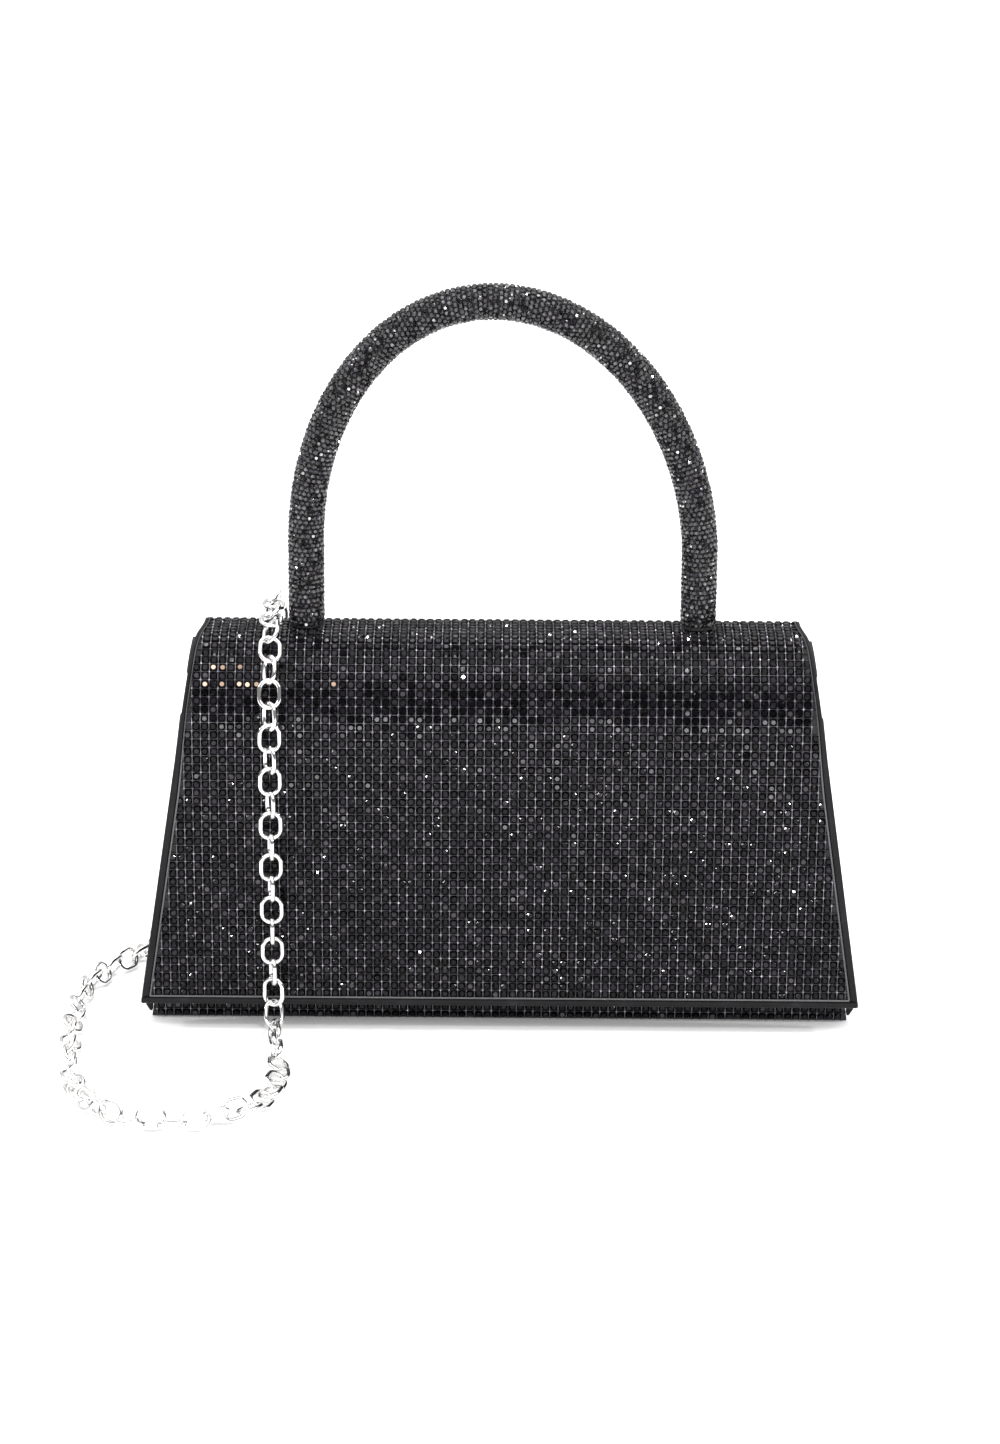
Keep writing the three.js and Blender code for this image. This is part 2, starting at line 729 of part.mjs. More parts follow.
function addChain() {
  const route = (points) => {
    const places = points.map((point) => new THREE.Vector3(...point));
    return new THREE.CatmullRomCurve3(places, false, "centripetal");
  };
  const section = roundSection(chainRadius, 8);
  add("chain_front_run", tubeAlong(route(frontRun), 52, section), nickel);
  add("chain_back_rise", tubeAlong(route(backRise), 20, section), nickel);

  const ringSection = (inner, outer, low, high) => [
    new THREE.Vector2(inner, low),
    new THREE.Vector2(outer, low),
    new THREE.Vector2(outer, high),
    new THREE.Vector2(inner, high),
    new THREE.Vector2(inner, low),
  ];
  const inner = coilRadius - chainRadius;
  const outer = coilRadius + chainRadius;
  const coil = new THREE.LatheGeometry(ringSection(inner, outer, 0, coilHeight), 40);
  add("chain_coil", coil.rotateX(Math.PI / 2).translate(coilX, coilY, coilFloor), nickel);

  const room = tieClearance;
  const rect = (grow, low, high) => [
    [inner - grow, low],
    [outer + grow, low],
    [outer + grow, high],
    [inner - grow, high],
  ];
  const low = coilFloor - room;
  const high = coilFloor + coilHeight + room;
  const band = outline(rect(room + tieThick, low - tieThick, high + tieThick));
  const eye = rect(room, low, high).map(([across, up]) => new THREE.Vector2(across, up));
  band.holes.push(new THREE.Path(eye.reverse()));
  const tie = sidePlate(band, -tieWidth / 2, tieWidth / 2).translate(coilX, coilY, 0);
  add("coil_tie", tie, paperTie);
}

addBody();
addTrim();
addHingeStrip();
addFlap();
addSnap();
addHandle();
addStrapFittings();
addChain();

export default bag;
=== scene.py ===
"""Evening bag: the looks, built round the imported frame. Metres, +Z up, the flap faces -Y."""
import math
import random

import bpy
import numpy as np
from mathutils import Euler, Matrix, Vector


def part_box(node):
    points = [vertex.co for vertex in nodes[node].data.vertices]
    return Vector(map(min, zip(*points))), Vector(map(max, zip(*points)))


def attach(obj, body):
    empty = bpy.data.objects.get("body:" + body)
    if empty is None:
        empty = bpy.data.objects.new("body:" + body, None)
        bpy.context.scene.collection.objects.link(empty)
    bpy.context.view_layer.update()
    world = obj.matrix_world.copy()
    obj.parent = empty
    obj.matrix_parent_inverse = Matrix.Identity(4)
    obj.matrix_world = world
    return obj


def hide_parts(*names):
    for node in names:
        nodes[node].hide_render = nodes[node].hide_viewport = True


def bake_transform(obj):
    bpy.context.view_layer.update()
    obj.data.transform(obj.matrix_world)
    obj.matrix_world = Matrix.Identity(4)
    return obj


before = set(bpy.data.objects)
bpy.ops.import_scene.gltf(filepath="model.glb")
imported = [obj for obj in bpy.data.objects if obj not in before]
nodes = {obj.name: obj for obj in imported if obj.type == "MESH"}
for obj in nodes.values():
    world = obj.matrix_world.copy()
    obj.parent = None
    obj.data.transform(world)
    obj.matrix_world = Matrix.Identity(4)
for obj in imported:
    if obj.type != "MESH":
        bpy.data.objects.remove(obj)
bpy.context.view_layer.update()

MM = 0.001
X, Y, Z = np.eye(3)

# ---- The bag's own measures --------------------------------------------------------------

flap_low, flap_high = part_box("flap_cover")
front_low, front_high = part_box("front_cover")
back_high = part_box("back_cover")[1]
gusset_low, gusset_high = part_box("gusset_cover_right")
strip_low, strip_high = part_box("hinge_strip")
handle_low, handle_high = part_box("handle_cover")
tie_low, tie_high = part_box("coil_tie")

BACK_SLOPE = 0.2
BACK_LEAN = math.atan(BACK_SLOPE)
DOWN_THE_BACK = np.array([0, math.sin(BACK_LEAN), -math.cos(BACK_LEAN)])
OUT_OF_THE_BACK = np.array([0, math.cos(BACK_LEAN), math.sin(BACK_LEAN)])
SIDE_SLOPE = 0.13
FLAP_SLOPE = 0.1495
FLAP_FLAT = 11 * MM  # flat strip along the flap's top
ROLL_HEIGHT = 27 * MM
BOW_DEPTH = 1.5 * MM
BOW_FOOT = 50 * MM
FLAP_THICK = 5 * MM
LAYER = 1.6 * MM  # cover of backing, net and stones
HINGE_RADIUS = 4.5 * MM
BINDING = 2.2 * MM
BINDING_REACH = 2.5 * MM  # from the flap cover's edge out to the binding's
BINDING_WIDE, BINDING_NARROW = 72 * MM, 104 * MM  # heights between which it narrows
DRAWN_IN = 2.4 * MM  # each side of the flap, at the hinge
FOLD_SET_IN = 2.2 * MM  # each end of the fold
WALL_THICK = 5 * MM
TAPE = 0.45 * MM
GAP = 0.3 * MM

PITCH = 2.5 * MM
STONE_RADIUS = 1.17 * MM
STONE_HEIGHT = 0.85 * MM
BACKING = 0.75 * MM
SEAT = -STONE_HEIGHT - 0.02 * MM  # stones and net start a little inside the backing
SEAT_MARGIN = 0.95 * MM

SNAP_Z, SNAP_ROOM = 34 * MM, 8.4 * MM
TAB_X, TAB_ROOM = 67 * MM, 6.4 * MM
TAB_FOOT, TAB_TOP = 79 * MM, 104 * MM
RING_AXIS = (12.74 * MM, 100.55 * MM)

# Stones that have lost their dark foil: a patch by the left shoulder and one on its own.
PATCH_FOOT, PATCH_TOP, PATCH_END = 105.6 * MM, 111.2 * MM, -69 * MM
LONE_TOP, LONE_X = 107.6 * MM, -48.7 * MM

HANDLE_RADIUS = 5.3 * MM
HANDLE_REACH = handle_high.x - HANDLE_RADIUS
HANDLE_RISE = 74.9 * MM  # middle of the tube, above the straight legs
HANDLE_LEAN = 3.1 * MM  # to the left, at the top
HANDLE_CENTRE_Z = handle_high.z - HANDLE_RADIUS - HANDLE_RISE
HANDLE_Y = (handle_low.y + handle_high.y) / 2

LINK_WIDTH = 7.2 * MM
LINK_LENGTH = 9.3 * MM
LINK_WIRE = 1.35 * MM  # diameter


# ---- Working by hand ---------------------------------------------------------------------


def clear_selection():
    if bpy.context.object and bpy.context.object.mode != "OBJECT":
        bpy.ops.object.mode_set(mode="OBJECT")
    bpy.ops.object.select_all(action="DESELECT")


def pick(piece):
    clear_selection()
    piece.select_set(True)
    bpy.context.view_layer.objects.active = piece
    return piece


def settle(piece):
    """The object goes to the origin and its place into its mesh."""
    pick(piece)
    bpy.ops.object.transform_apply(location=True, rotation=True, scale=True)
    return piece


def with_modifier(piece, kind, **settings):
    pick(piece)
    modifier = piece.modifiers.new(kind.title(), kind)
    for key, value in settings.items():
        setattr(modifier, key, value)
    bpy.ops.object.modifier_apply(modifier=modifier.name)
    return piece


def smooth(piece, degrees=35):
    pick(piece)
    bpy.ops.object.shade_smooth_by_angle(angle=math.radians(degrees))
    return piece


def select_faces(piece, wanted):
    """In edit mode, the faces whose centre and normal are wanted."""
    bpy.ops.object.mode_set(mode="EDIT")
    bpy.ops.mesh.select_all(action="DESELECT")
    bpy.ops.mesh.select_mode(type="FACE")
    bpy.ops.object.mode_set(mode="OBJECT")
    for face in piece.data.polygons:
        face.select = bool(wanted(face.center, face.normal))
    bpy.ops.object.mode_set(mode="EDIT")


def add_mesh(name, places, faces):
    """A piece made of corners and faces, its normals turned outwards."""
    mesh = bpy.data.meshes.new(name)
    mesh.from_pydata([tuple(p) for p in places], [], faces)
    piece = bpy.data.objects.new(name, mesh)
    bpy.context.scene.collection.objects.link(piece)
    pick(piece)
    bpy.ops.object.mode_set(mode="EDIT")
    bpy.ops.mesh.select_all(action="SELECT")
    bpy.ops.mesh.normals_make_consistent(inside=False)
    bpy.ops.object.mode_set(mode="OBJECT")
    return piece


def add_box(low, high):
    """An upright block between two corners."""
    clear_selection()
    low, high = Vector(low), Vector(high)
    bpy.ops.mesh.primitive_cube_add(size=1, location=(low + high) / 2, scale=high - low)
    return settle(bpy.context.object)


def finish_piece(piece, name, body, material, replaces=()):
    piece.name = name
    piece.data.name = name
    piece.data.materials.clear()
    piece.data.materials.append(material)
    if body:
        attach(piece, body)
    if replaces:
        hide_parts(*replaces)
    return piece


def copy_of_node(name):
    """A loose copy of a CAD node, its triangles merged into plain faces."""
    source = nodes[name]
    piece = source.copy()
    piece.data = source.data.copy()
    piece.parent = None
    for key in list(piece.keys()):
        del piece[key]
    bpy.context.scene.collection.objects.link(piece)
    pick(piece)
    bpy.ops.object.mode_set(mode="EDIT")
    bpy.ops.mesh.select_all(action="SELECT")
    bpy.ops.mesh.remove_doubles(threshold=0.02 * MM)
    bpy.ops.mesh.dissolve_limited(angle_limit=math.radians(1))
    bpy.ops.object.mode_set(mode="OBJECT")
    return piece


def distances(points):
    """How far along a line each of its points lies."""
    steps = np.linalg.norm(np.diff(points, axis=0), axis=1)
    return np.concatenate([[0], np.cumsum(steps)])


def along_line(where, run, table):
    """Rows of a table between those given, at distances along the line."""
    return np.stack([np.interp(where, run, table[:, k]) for k in range(3)], axis=-1)


def unit(vectors):
    return vectors / np.linalg.norm(vectors, axis=-1, keepdims=True)


# ---- Materials ---------------------------------------------------------------------------


class Signal:
    """A value that changes over a surface. Arithmetic on it adds Math nodes."""

    def __init__(self, paint, socket):
        self.paint, self.socket = paint, socket

    def _maths(self, operation, first, second):
        return self.paint.add("Math", {"operation": operation}, {0: first, 1: second})

    def __add__(self, other):
        return self._maths("ADD", self, other)

    def __sub__(self, other):
        return self._maths("SUBTRACT", self, other)

    def __mul__(self, other):
        return self._maths("MULTIPLY", self, other)

    def __rsub__(self, other):
        return self._maths("SUBTRACT", other, self)

    __radd__ = __add__

    def repeat(self):
        return self._maths("FRACT", self, 0)

    def size(self):
        return self._maths("ABSOLUTE", self, 0)

    def below(self, limit, blur):
        """1 where the value is under the limit, 0 above it, with a soft step."""
        ends = {"Value": self, "From Min": limit - blur, "From Max": limit + blur}
        ends.update({"To Min": 1.0, "To Max": 0.0})
        return self.paint.add("MapRange", {"interpolation_type": "SMOOTHSTEP"}, ends)


class Nodes:
    """Adds nodes to one tree."""

    def __init__(self, tree):
        self.tree = tree

    def add(self, kind, settings=None, inputs=None, output=0):
        node = self.tree.nodes.new("ShaderNode" + kind)
        for key, value in (settings or {}).items():
            if key == "stops":
                ramp = node.color_ramp
                while len(ramp.elements) < len(value):
                    ramp.elements.new(0.5)
                for element, (place, colour) in zip(ramp.elements, value):
                    element.position, element.color = place, (*colour, 1)
            else:
                setattr(node, key, value)
        for key, value in (inputs or {}).items():
            self.feed(node.inputs[key], value)
        return Signal(self, node.outputs[output])

    def feed(self, socket, value):
        if isinstance(value, Signal):
            self.tree.links.new(value.socket, socket)
        elif isinstance(value, tuple) and len(value) == 3 and socket.type == "RGBA":
            socket.default_value = (*value, 1)
        else:
            socket.default_value = value

    def axes(self, vector):
        return [self.add("SeparateXYZ", inputs={0: vector}, output=i) for i in range(3)]


class Paint(Nodes):
    """One material, built node by node."""

    def __init__(self, name):
        self.material = bpy.data.materials.new(name)
        self.material.use_nodes = True
        super().__init__(self.material.node_tree)
        self.shader = self.tree.nodes["Principled BSDF"]

    def place(self, stretch=(1, 1, 1)):
        spot = self.add("TexCoord", output="Object")
        if stretch == (1, 1, 1):
            return spot
        return self.add("Mapping", {"vector_type": "POINT"}, {"Vector": spot, "Scale": stretch})

    def noise(self, where, scale, detail=2.0, roughness=0.5):
        settings = {"Vector": where, "Scale": scale, "Detail": detail, "Roughness": roughness}
        return self.add("TexNoise", inputs=settings)

    def blend(self, factor, first, second):
        colours = {"Factor": factor, 6: first, 7: second}
        return self.add("Mix", {"data_type": "RGBA"}, colours, output=2)

    def ramp(self, factor, *stops):
        return self.add("ValToRGB", {"stops": stops}, {"Fac": factor})

    def surface(self, **inputs):
        for key, value in inputs.items():
            self.feed(self.shader.inputs[key.replace("_", " ")], value)
        return self.material

    def coat(self, colour, roughness, height, depth, strength, **more):
        """Colour, roughness and a relief of so many mm, then whatever else is set."""
        relief = {"Height": height, "Distance": depth * MM, "Strength": strength}
        bump = self.add("Bump", inputs=relief)
        return self.surface(Base_Color=colour, Roughness=roughness, Normal=bump, **more)


def stone_glass(name, depth, shine):
    """Black cut glass, mostly near black; a few stones lean violet, grey or champagne."""
    paint = Paint(name)
    colour = paint.ramp(
        paint.add("Attribute", {"attribute_name": "tint"}, output="Fac"),
        (0.0, (0.0008, 0.0008, 0.0010)),
        (0.40, (0.0030, 0.0026, 0.0038)),
        (0.70, (depth * 0.5, depth * 0.42, depth * 0.62)),
        (0.86, (depth, depth * 0.92, depth)),
        (0.94, (depth * 2.6, depth * 2.4, depth * 2.7)),
        (0.96, (0.30, 0.20, 0.14)),
        (1.0, (0.78, 0.60, 0.46)),
    )
    smear = paint.noise(paint.place(), 900, 2)
    ripple = paint.noise(paint.place(), 2600, 1)
    gloss = {"IOR": 1.56, "Specular_IOR_Level": shine}
    return paint.coat(colour, 0.04 + smear * 0.09, ripple, 0.01, 0.25, **gloss)


def net_thread(name, lightness):
    """Pale coated net that shows between the stones."""
    paint = Paint(name)
    wear = paint.noise(paint.place(), 420, 3)
    fine = paint.noise(paint.place(), 5200, 2)
    shades = (
        (0.36, (0.15, 0.14, 0.16)), (0.50, (0.80, 0.75, 0.86)), (0.64, (2.1, 1.95, 2.2)),
    )
    stops = [(place, tuple(lightness * part for part in shade)) for place, shade in shades]
    colour = paint.ramp(wear, *stops)
    return paint.coat(colour, 0.22 + fine * 0.2, fine, 0.03, 0.5, Metallic=0.5)


def backing_cloth():
    """Dark glue-soaked cloth below the net."""
    paint = Paint("backing_cloth")
    spot = paint.place()
    x, y, z = paint.axes(spot)
    threads = ((x + y) * 2600).repeat() * ((z + y) * 2600).repeat()
    mottle = paint.noise(spot, 160, 3)
    colour = paint.blend(mottle, (0.003, 0.003, 0.004), (0.012, 0.011, 0.013))
    return paint.coat(colour, 0.55 + mottle * 0.3, threads, 0.06, 0.6)


def binding_hide():
    """Black coated binding, fine grain, rubbed paler in places."""
    paint = Paint("black_binding")
    spot = paint.place()
    cells = {"Vector": spot, "Scale": 2100.0}
    pebble = paint.add("TexVoronoi", {"feature": "DISTANCE_TO_EDGE"}, cells)
    rub = paint.noise(spot, 120, 4, 0.6)
    colour = paint.ramp(
        rub,
        (0.35, (0.0035, 0.0035, 0.004)),
        (0.60, (0.007, 0.007, 0.008)),
        (0.80, (0.022, 0.021, 0.023)),
    )
    return paint.coat(colour, 0.40 + rub * 0.22, pebble, 0.05, 0.5, Specular_IOR_Level=0.16)


def painted_highlight_cord():
    """Thin satin cord that frames the stones; its pale colour is a painted highlight for the
    reflection along the binding's rounded inner edge, while the twist stripes are the cord's own
    texture.
    """
    paint = Paint("painted_highlight_cord")
    x, y, z = paint.axes(paint.place())
    twist = ((x + y * 1.3 + z) * 1300).repeat()
    colour = paint.blend(twist, (0.04, 0.04, 0.042), (0.15, 0.148, 0.155))
    return paint.coat(colour, 0.32 + twist * 0.1, twist, 0.08, 0.5, Metallic=0.35)


def lining_twill():
    """Fine black twill with a slight sheen; the diagonal runs the same way on every wall."""
    paint = Paint("lining_twill")
    x, y, z = paint.axes(paint.place())
    rib = ((x + y + z) * 1500).repeat()
    ridge = 1 - ((rib - 0.5).size() * 2)
    across = ((x - z + y * 0.7) * 3200).repeat()
    slub = paint.noise(paint.place((1, 1, 0.2)), 700, 3)
    colour = paint.blend(ridge * 0.6 + slub * 0.4, (0.010, 0.010, 0.012), (0.044, 0.042, 0.050))
    sheen = {"Sheen_Weight": 0.25, "Sheen_Roughness": 0.4}
    return paint.coat(colour, 0.46 + slub * 0.25, ridge + across * 0.25, 0.09, 0.7, **sheen)


def pressed_board():
    """Grey recycled board: fibres and flecks."""
    paint = Paint("pressed_board")
    fibres = paint.noise(paint.place((1, 1, 6)), 420, 5, 0.7)
    flecks = paint.noise(paint.place(), 1500, 1)
    ground = paint.blend(fibres, (0.30, 0.27, 0.23), (0.50, 0.46, 0.40))
    colour = paint.blend(flecks.below(0.33, 0.02), ground, (0.16, 0.14, 0.13))
    return paint.coat(colour, 0.82 + fibres * 0.12, fibres, 0.12, 0.6)


def nickel_plate():
    """Satin nickel, turned marks and small handling scratches."""
    paint = Paint("nickel_plate")
    haze = paint.noise(paint.place(), 240, 3)
    scratch = paint.noise(paint.place((1, 1, 14)), 520, 2)
    colour = paint.blend(haze, (0.60, 0.59, 0.57), (0.76, 0.75, 0.73))
    roughness = 0.16 + haze * 0.12 + scratch * 0.08
    return paint.coat(colour, roughness, scratch, 0.01, 0.3, Metallic=1.0)


def polished_silver():
    """Polished silver-tone plate on the chain."""
    paint = Paint("polished_silver")
    haze = paint.noise(paint.place(), 130, 3)
    pits = paint.noise(paint.place(), 1900, 2)
    colour = paint.blend(haze, (0.74, 0.735, 0.73), (0.90, 0.892, 0.885))
    roughness = 0.05 + haze * 0.07 + pits.below(0.32, 0.05) * 0.1
    return paint.coat(colour, roughness, haze, 0.03, 0.25, Metallic=1.0)


def dense_foam():
    """Closed-cell foam of the handle's core."""
    paint = Paint("dense_foam")
    cells = {"Vector": paint.place(), "Scale": 1600.0}
    bubbles = paint.add("TexVoronoi", {"feature": "F1"}, cells)
    colour = paint.blend(bubbles, (0.030, 0.030, 0.034), (0.080, 0.080, 0.086))
    return paint.coat(colour, 0.9, bubbles, 0.2, 0.6)


def paper_band():
    """Off-white paper with faint fibres."""
    paint = Paint("paper_band")
    fibres = paint.noise(paint.place((1, 3, 1)), 600, 4, 0.65)
    colour = paint.blend(fibres, (0.74, 0.71, 0.65), (0.86, 0.84, 0.79))
    return paint.coat(colour, 0.75 + fibres * 0.15, fibres, 0.05, 0.4)


def waxed_thread():
    """Black twisted thread of the stitches."""
    paint = Paint("waxed_thread")
    x, y, z = paint.axes(paint.place())
    ply = ((x + y + z * 1.2) * 4200).repeat()
    colour = paint.blend(ply, (0.018, 0.018, 0.020), (0.060, 0.058, 0.062))
    return paint.coat(colour, 0.5, ply, 0.04, 0.6)


def studio_floor():
    """Plain white paper sweep."""
    paint = Paint("white_sweep")
    tooth = paint.noise(paint.place(), 340, 2)
    colour = paint.blend(tooth, (0.88, 0.88, 0.88), (0.90, 0.90, 0.90))
    return paint.surface(
        Base_Color=colour, Roughness=0.85, Specular_IOR_Level=0.1,
        Emission_Color=(1.0, 1.0, 1.0, 1.0), Emission_Strength=0.15,
    )


GLASS = stone_glass("black_cut_glass", 0.022, 0.15)
SMALL_GLASS = stone_glass("small_cut_glass", 0.060, 0.60)
THREAD = net_thread("net_thread", 0.10)
CROSS_THREAD = net_thread("net_cross_thread", 0.035)
KNOT = net_thread("net_knots", 0.30)
CLOTH = backing_cloth()
HIDE = binding_hide()
# Pale cord colour: a painted highlight along the binding's inner edge.
HIGHLIGHT_CORD = painted_highlight_cord()
TWILL = lining_twill()
BOARD = pressed_board()
NICKEL = nickel_plate()
SILVER = polished_silver()
FOAM = dense_foam()
PAPER = paper_band()
STITCH = waxed_thread()


# ---- Camera ------------------------------------------------------------------------------


def add_camera():
    clear_selection()
    bpy.ops.object.camera_add(location=(-0.0005, -1.176, 0.515))
    camera = bpy.context.object
    tilt = Euler((math.radians(70), 0, 0)).to_matrix()
    roll = Matrix.Rotation(math.radians(0.42), 3, "Z")
    camera.rotation_euler = (tilt @ roll).to_euler()
    camera.data.lens = 105
    camera.data.sensor_width = 36
    camera.data.clip_start, camera.data.clip_end = 0.05, 20
    bpy.context.scene.camera = camera


add_camera()

# ---- Chain strap -------------------------------------------------------------------------

# From the left ring over the top, down the front, round on the floor and behind the bag.
FRONT_RUN = [
    (-67, 12.8, 113), (-67.1, 12.5, 117), (-67.2, 9.8, 120.8), (-67.3, 4, 122.3),
    (-67.4, -3, 122.3), (-67.4, -10.5, 122.1), (-67.3, -18.2, 119.9), (-67.3, -26.1, 112.9),
    (-67.2, -31.2, 102.7), (-67.2, -32.9, 90), (-67.1, -34, 72), (-67.1, -34.3, 52),
    (-67, -34.3, 34), (-66.9, -34.3, 18), (-66.6, -36, 8.6), (-66.2, -42, 4.2),
    (-65, -53, 3.8), (-63.8, -68, 3.8), (-67.4, -82.5, 3.8), (-77, -95, 3.8),
    (-90, -99, 3.8), (-104, -98, 3.8), (-115, -90.5, 3.8), (-122, -75, 3.8),
    (-125, -57, 3.8), (-126.6, -36, 3.8), (-126.4, -21, 3.8), (-124.6, -7, 3.8),
    (-120.8, 4.5, 3.8), (-115.2, 13, 3.8), (-110.4, 20.3, 3.8), (-108.3, 29.5, 3.8),
    (-104.5, 38.5, 3.8), (-95, 45.5, 3.8), (-82, 49.5, 3.9), (-68, 51.4, 4.3),
    (-54, 52, 4.8),
]
# From the coil, down to the floor and up the back to the right ring.
BACK_RISE = [
    (-2, 52, 17.6), (10, 51, 12.6), (24, 48.6, 6.2), (40, 45, 4.2), (54, 40.6, 4.2),
    (63.5, 36.4, 9.6), (66.6, 32.6, 20), (67, 27.4, 36), (67, 23.8, 56), (67, 21.4, 74),
    (67, 20, 86.6),
]
COIL_CENTRE = (-28, 88)
COIL_RADIUS = 36
COIL_LEVELS = (4.9, 12.1, 17.6)  # first turn, second turn, where it leaves
COIL_TURNS = 2


def ease(value, start, end):
    share = min(1, max(0, (value - start) / (end - start)))
    return share * share * (3 - 2 * share)


def coil_points():
    """Two turns, the second on top of the first, wound anticlockwise seen from above."""
    points = []
    low, middle, high = COIL_LEVELS
    steps = 24
    for i in range(COIL_TURNS * steps + 1):
        turn = i / steps
        angle = 2 * math.pi * turn - math.pi / 2
        level = low + (middle - low) * ease(turn, 0.5, 0.85)
        level += (high - middle) * ease(turn, 1.6, 2.0)
        x = COIL_CENTRE[0] + COIL_RADIUS * math.cos(angle)
        points.append((x, COIL_CENTRE[1] + COIL_RADIUS * math.sin(angle), level))
    return points


def smooth_route(points, step=0.5 * MM):
    """Even points along a centripetal spline through the given ones."""
    given = np.array(points, float)
    given = np.vstack([2 * given[0] - given[1], given, 2 * given[-1] - given[-2]])
    dense = []
    for p0, p1, p2, p3 in zip(given, given[1:], given[2:], given[3:]):
        t0 = 0.0
        t1 = t0 + np.linalg.norm(p1 - p0) ** 0.5
        t2 = t1 + np.linalg.norm(p2 - p1) ** 0.5
        t3 = t2 + np.linalg.norm(p3 - p2) ** 0.5
        t = np.linspace(t1, t2, 24, endpoint=False)[:, None]
        a1 = p0 + (p1 - p0) * (t - t0) / (t1 - t0)
        a2 = p1 + (p2 - p1) * (t - t1) / (t2 - t1)
        a3 = p2 + (p3 - p2) * (t - t2) / (t3 - t2)
        b1 = a1 + (a2 - a1) * (t - t0) / (t2 - t0)
        b2 = a2 + (a3 - a2) * (t - t1) / (t3 - t1)
        dense.append(b1 + (b2 - b1) * (t - t1) / (t2 - t1))
    dense = np.vstack([*dense, given[-2:-1]])
    run = distances(dense)
    even = np.linspace(0, run[-1], max(2, int(run[-1] / step) + 1))
    return along_line(even, run, dense), run[-1]


def strew(name, pattern, origins, first, second, third, tint=None):
    """One mesh of many copies of a pattern. The three vectors are each copy's own axes."""
    shape = np.array([v.co for v in pattern.data.vertices], float)
    count, per = len(origins), len(shape)
    placed = (
        origins[:, None, :]
        + shape[None, :, 0, None] * first[:, None, :]
        + shape[None, :, 1, None] * second[:, None, :]
        + shape[None, :, 2, None] * third[:, None, :]
    )
    corners = np.array([v for face in pattern.data.polygons for v in face.vertices])
    totals = np.array([len(face.vertices) for face in pattern.data.polygons])
    mesh = bpy.data.meshes.new(name)
    mesh.vertices.add(count * per)
    mesh.vertices.foreach_set("co", placed.ravel())
    mesh.loops.add(count * len(corners))
    loops = corners[None, :] + np.arange(count)[:, None] * per
    mesh.loops.foreach_set("vertex_index", loops.ravel())
    mesh.polygons.add(count * len(totals))
    all_totals = np.tile(totals, count)
    starts = np.concatenate([[0], np.cumsum(all_totals)[:-1]])
    mesh.polygons.foreach_set("loop_start", starts)
    mesh.update(calc_edges=True)
    if tint is not None:
        attribute = mesh.attributes.new("tint", "FLOAT", "POINT")
        crown = 0.15 + 0.85 * (shape[:, 2] > shape[:, 2].max() * 0.9)
        attribute.data.foreach_set("value", np.outer(tint, crown).ravel().astype(np.float32))
    piece = bpy.data.objects.new(name, mesh)
    bpy.context.scene.collection.objects.link(piece)
    pick(piece)
    bpy.ops.object.shade_flat()
    return piece


def discard(*pieces):
    for piece in pieces:
        bpy.data.objects.remove(piece)


def oval_link():
    """A round ring of wire, its two halves drawn apart along Y."""
    clear_selection()
    bpy.ops.mesh.primitive_torus_add(
        major_segments=26,
        minor_segments=8,
        major_radius=(LINK_WIDTH - LINK_WIRE) / 2,
        minor_radius=LINK_WIRE / 2,
    )
    link = bpy.context.object
    spread = (LINK_LENGTH - LINK_WIDTH) / 2
    for side in (1, -1):
        select_faces(link, lambda centre, normal: centre.y * side > 0)
        bpy.ops.transform.translate(value=(0, side * spread, 0))
    bpy.ops.object.mode_set(mode="OBJECT")
    return link


def add_chain():
    random.seed(11)
    run = FRONT_RUN + coil_points() + BACK_RISE
    route, length = smooth_route(np.array(run) * MM)
    half = int(LINK_LENGTH / 2 / (0.5 * MM))
    origins, sides, alongs, faces = [], [], [], []
    reference = X.copy()
    travelled, index = 3 * MM, 0
    step = length / (len(route) - 1)
    while travelled < length - 2 * MM:
        at = int(round(travelled / step))
        before, after = max(0, at - half), min(len(route) - 1, at + half)
        along = unit(route[after] - route[before])
        reference = unit(reference - along * (reference @ along))
        other = np.cross(along, reference)
        lying = 1 - ease(route[at][2], 6 * MM, 22 * MM)
        if at > len(route) * 0.5:
            lying = max(lying, 0.6)
        swing = math.radians(9 + 20 * lying) * random.uniform(-1, 1)
        crossing = math.radians(86 - 26 * ease(route[at][2], 70 * MM, 95 * MM))
        angle = math.radians(45 * lying - 8) + swing + (index % 2) * crossing
        side = reference * math.cos(angle) + other * math.sin(angle)
        yaw = math.radians(9) * lying * random.uniform(-1, 1)
        turned = along * math.cos(yaw) + reference * math.sin(yaw)
        side = unit(side - turned * (side @ turned))
        face = np.cross(side, turned)
        origins.append(route[at])
        sides.append(side)
        alongs.append(turned)
        faces.append(face)
        travelled += (LINK_LENGTH - 2 * LINK_WIRE) * (1 - 0.07 * lying)
        index += 1
    origins = np.array(origins)
    sides, alongs, faces = np.array(sides), np.array(alongs), np.array(faces)
    link = oval_link()
    shape = np.array([v.co for v in link.data.vertices], float)
    for i, origin in enumerate(origins):
        lowest = (shape @ np.stack([sides[i], alongs[i], faces[i]]))[:, 2].min()
        if origin[2] < 6.5 * MM:
            origin[2] = 0.08 * MM - lowest
    chain = strew("chain_strap", link, origins, sides, alongs, faces)
    discard(link)
    smooth(chain, 180)
    finish_piece(
        chain, "chain_strap", "root", SILVER,
        ["chain_front_run", "chain_coil", "chain_back_rise"],
    )
    return chain, route, length


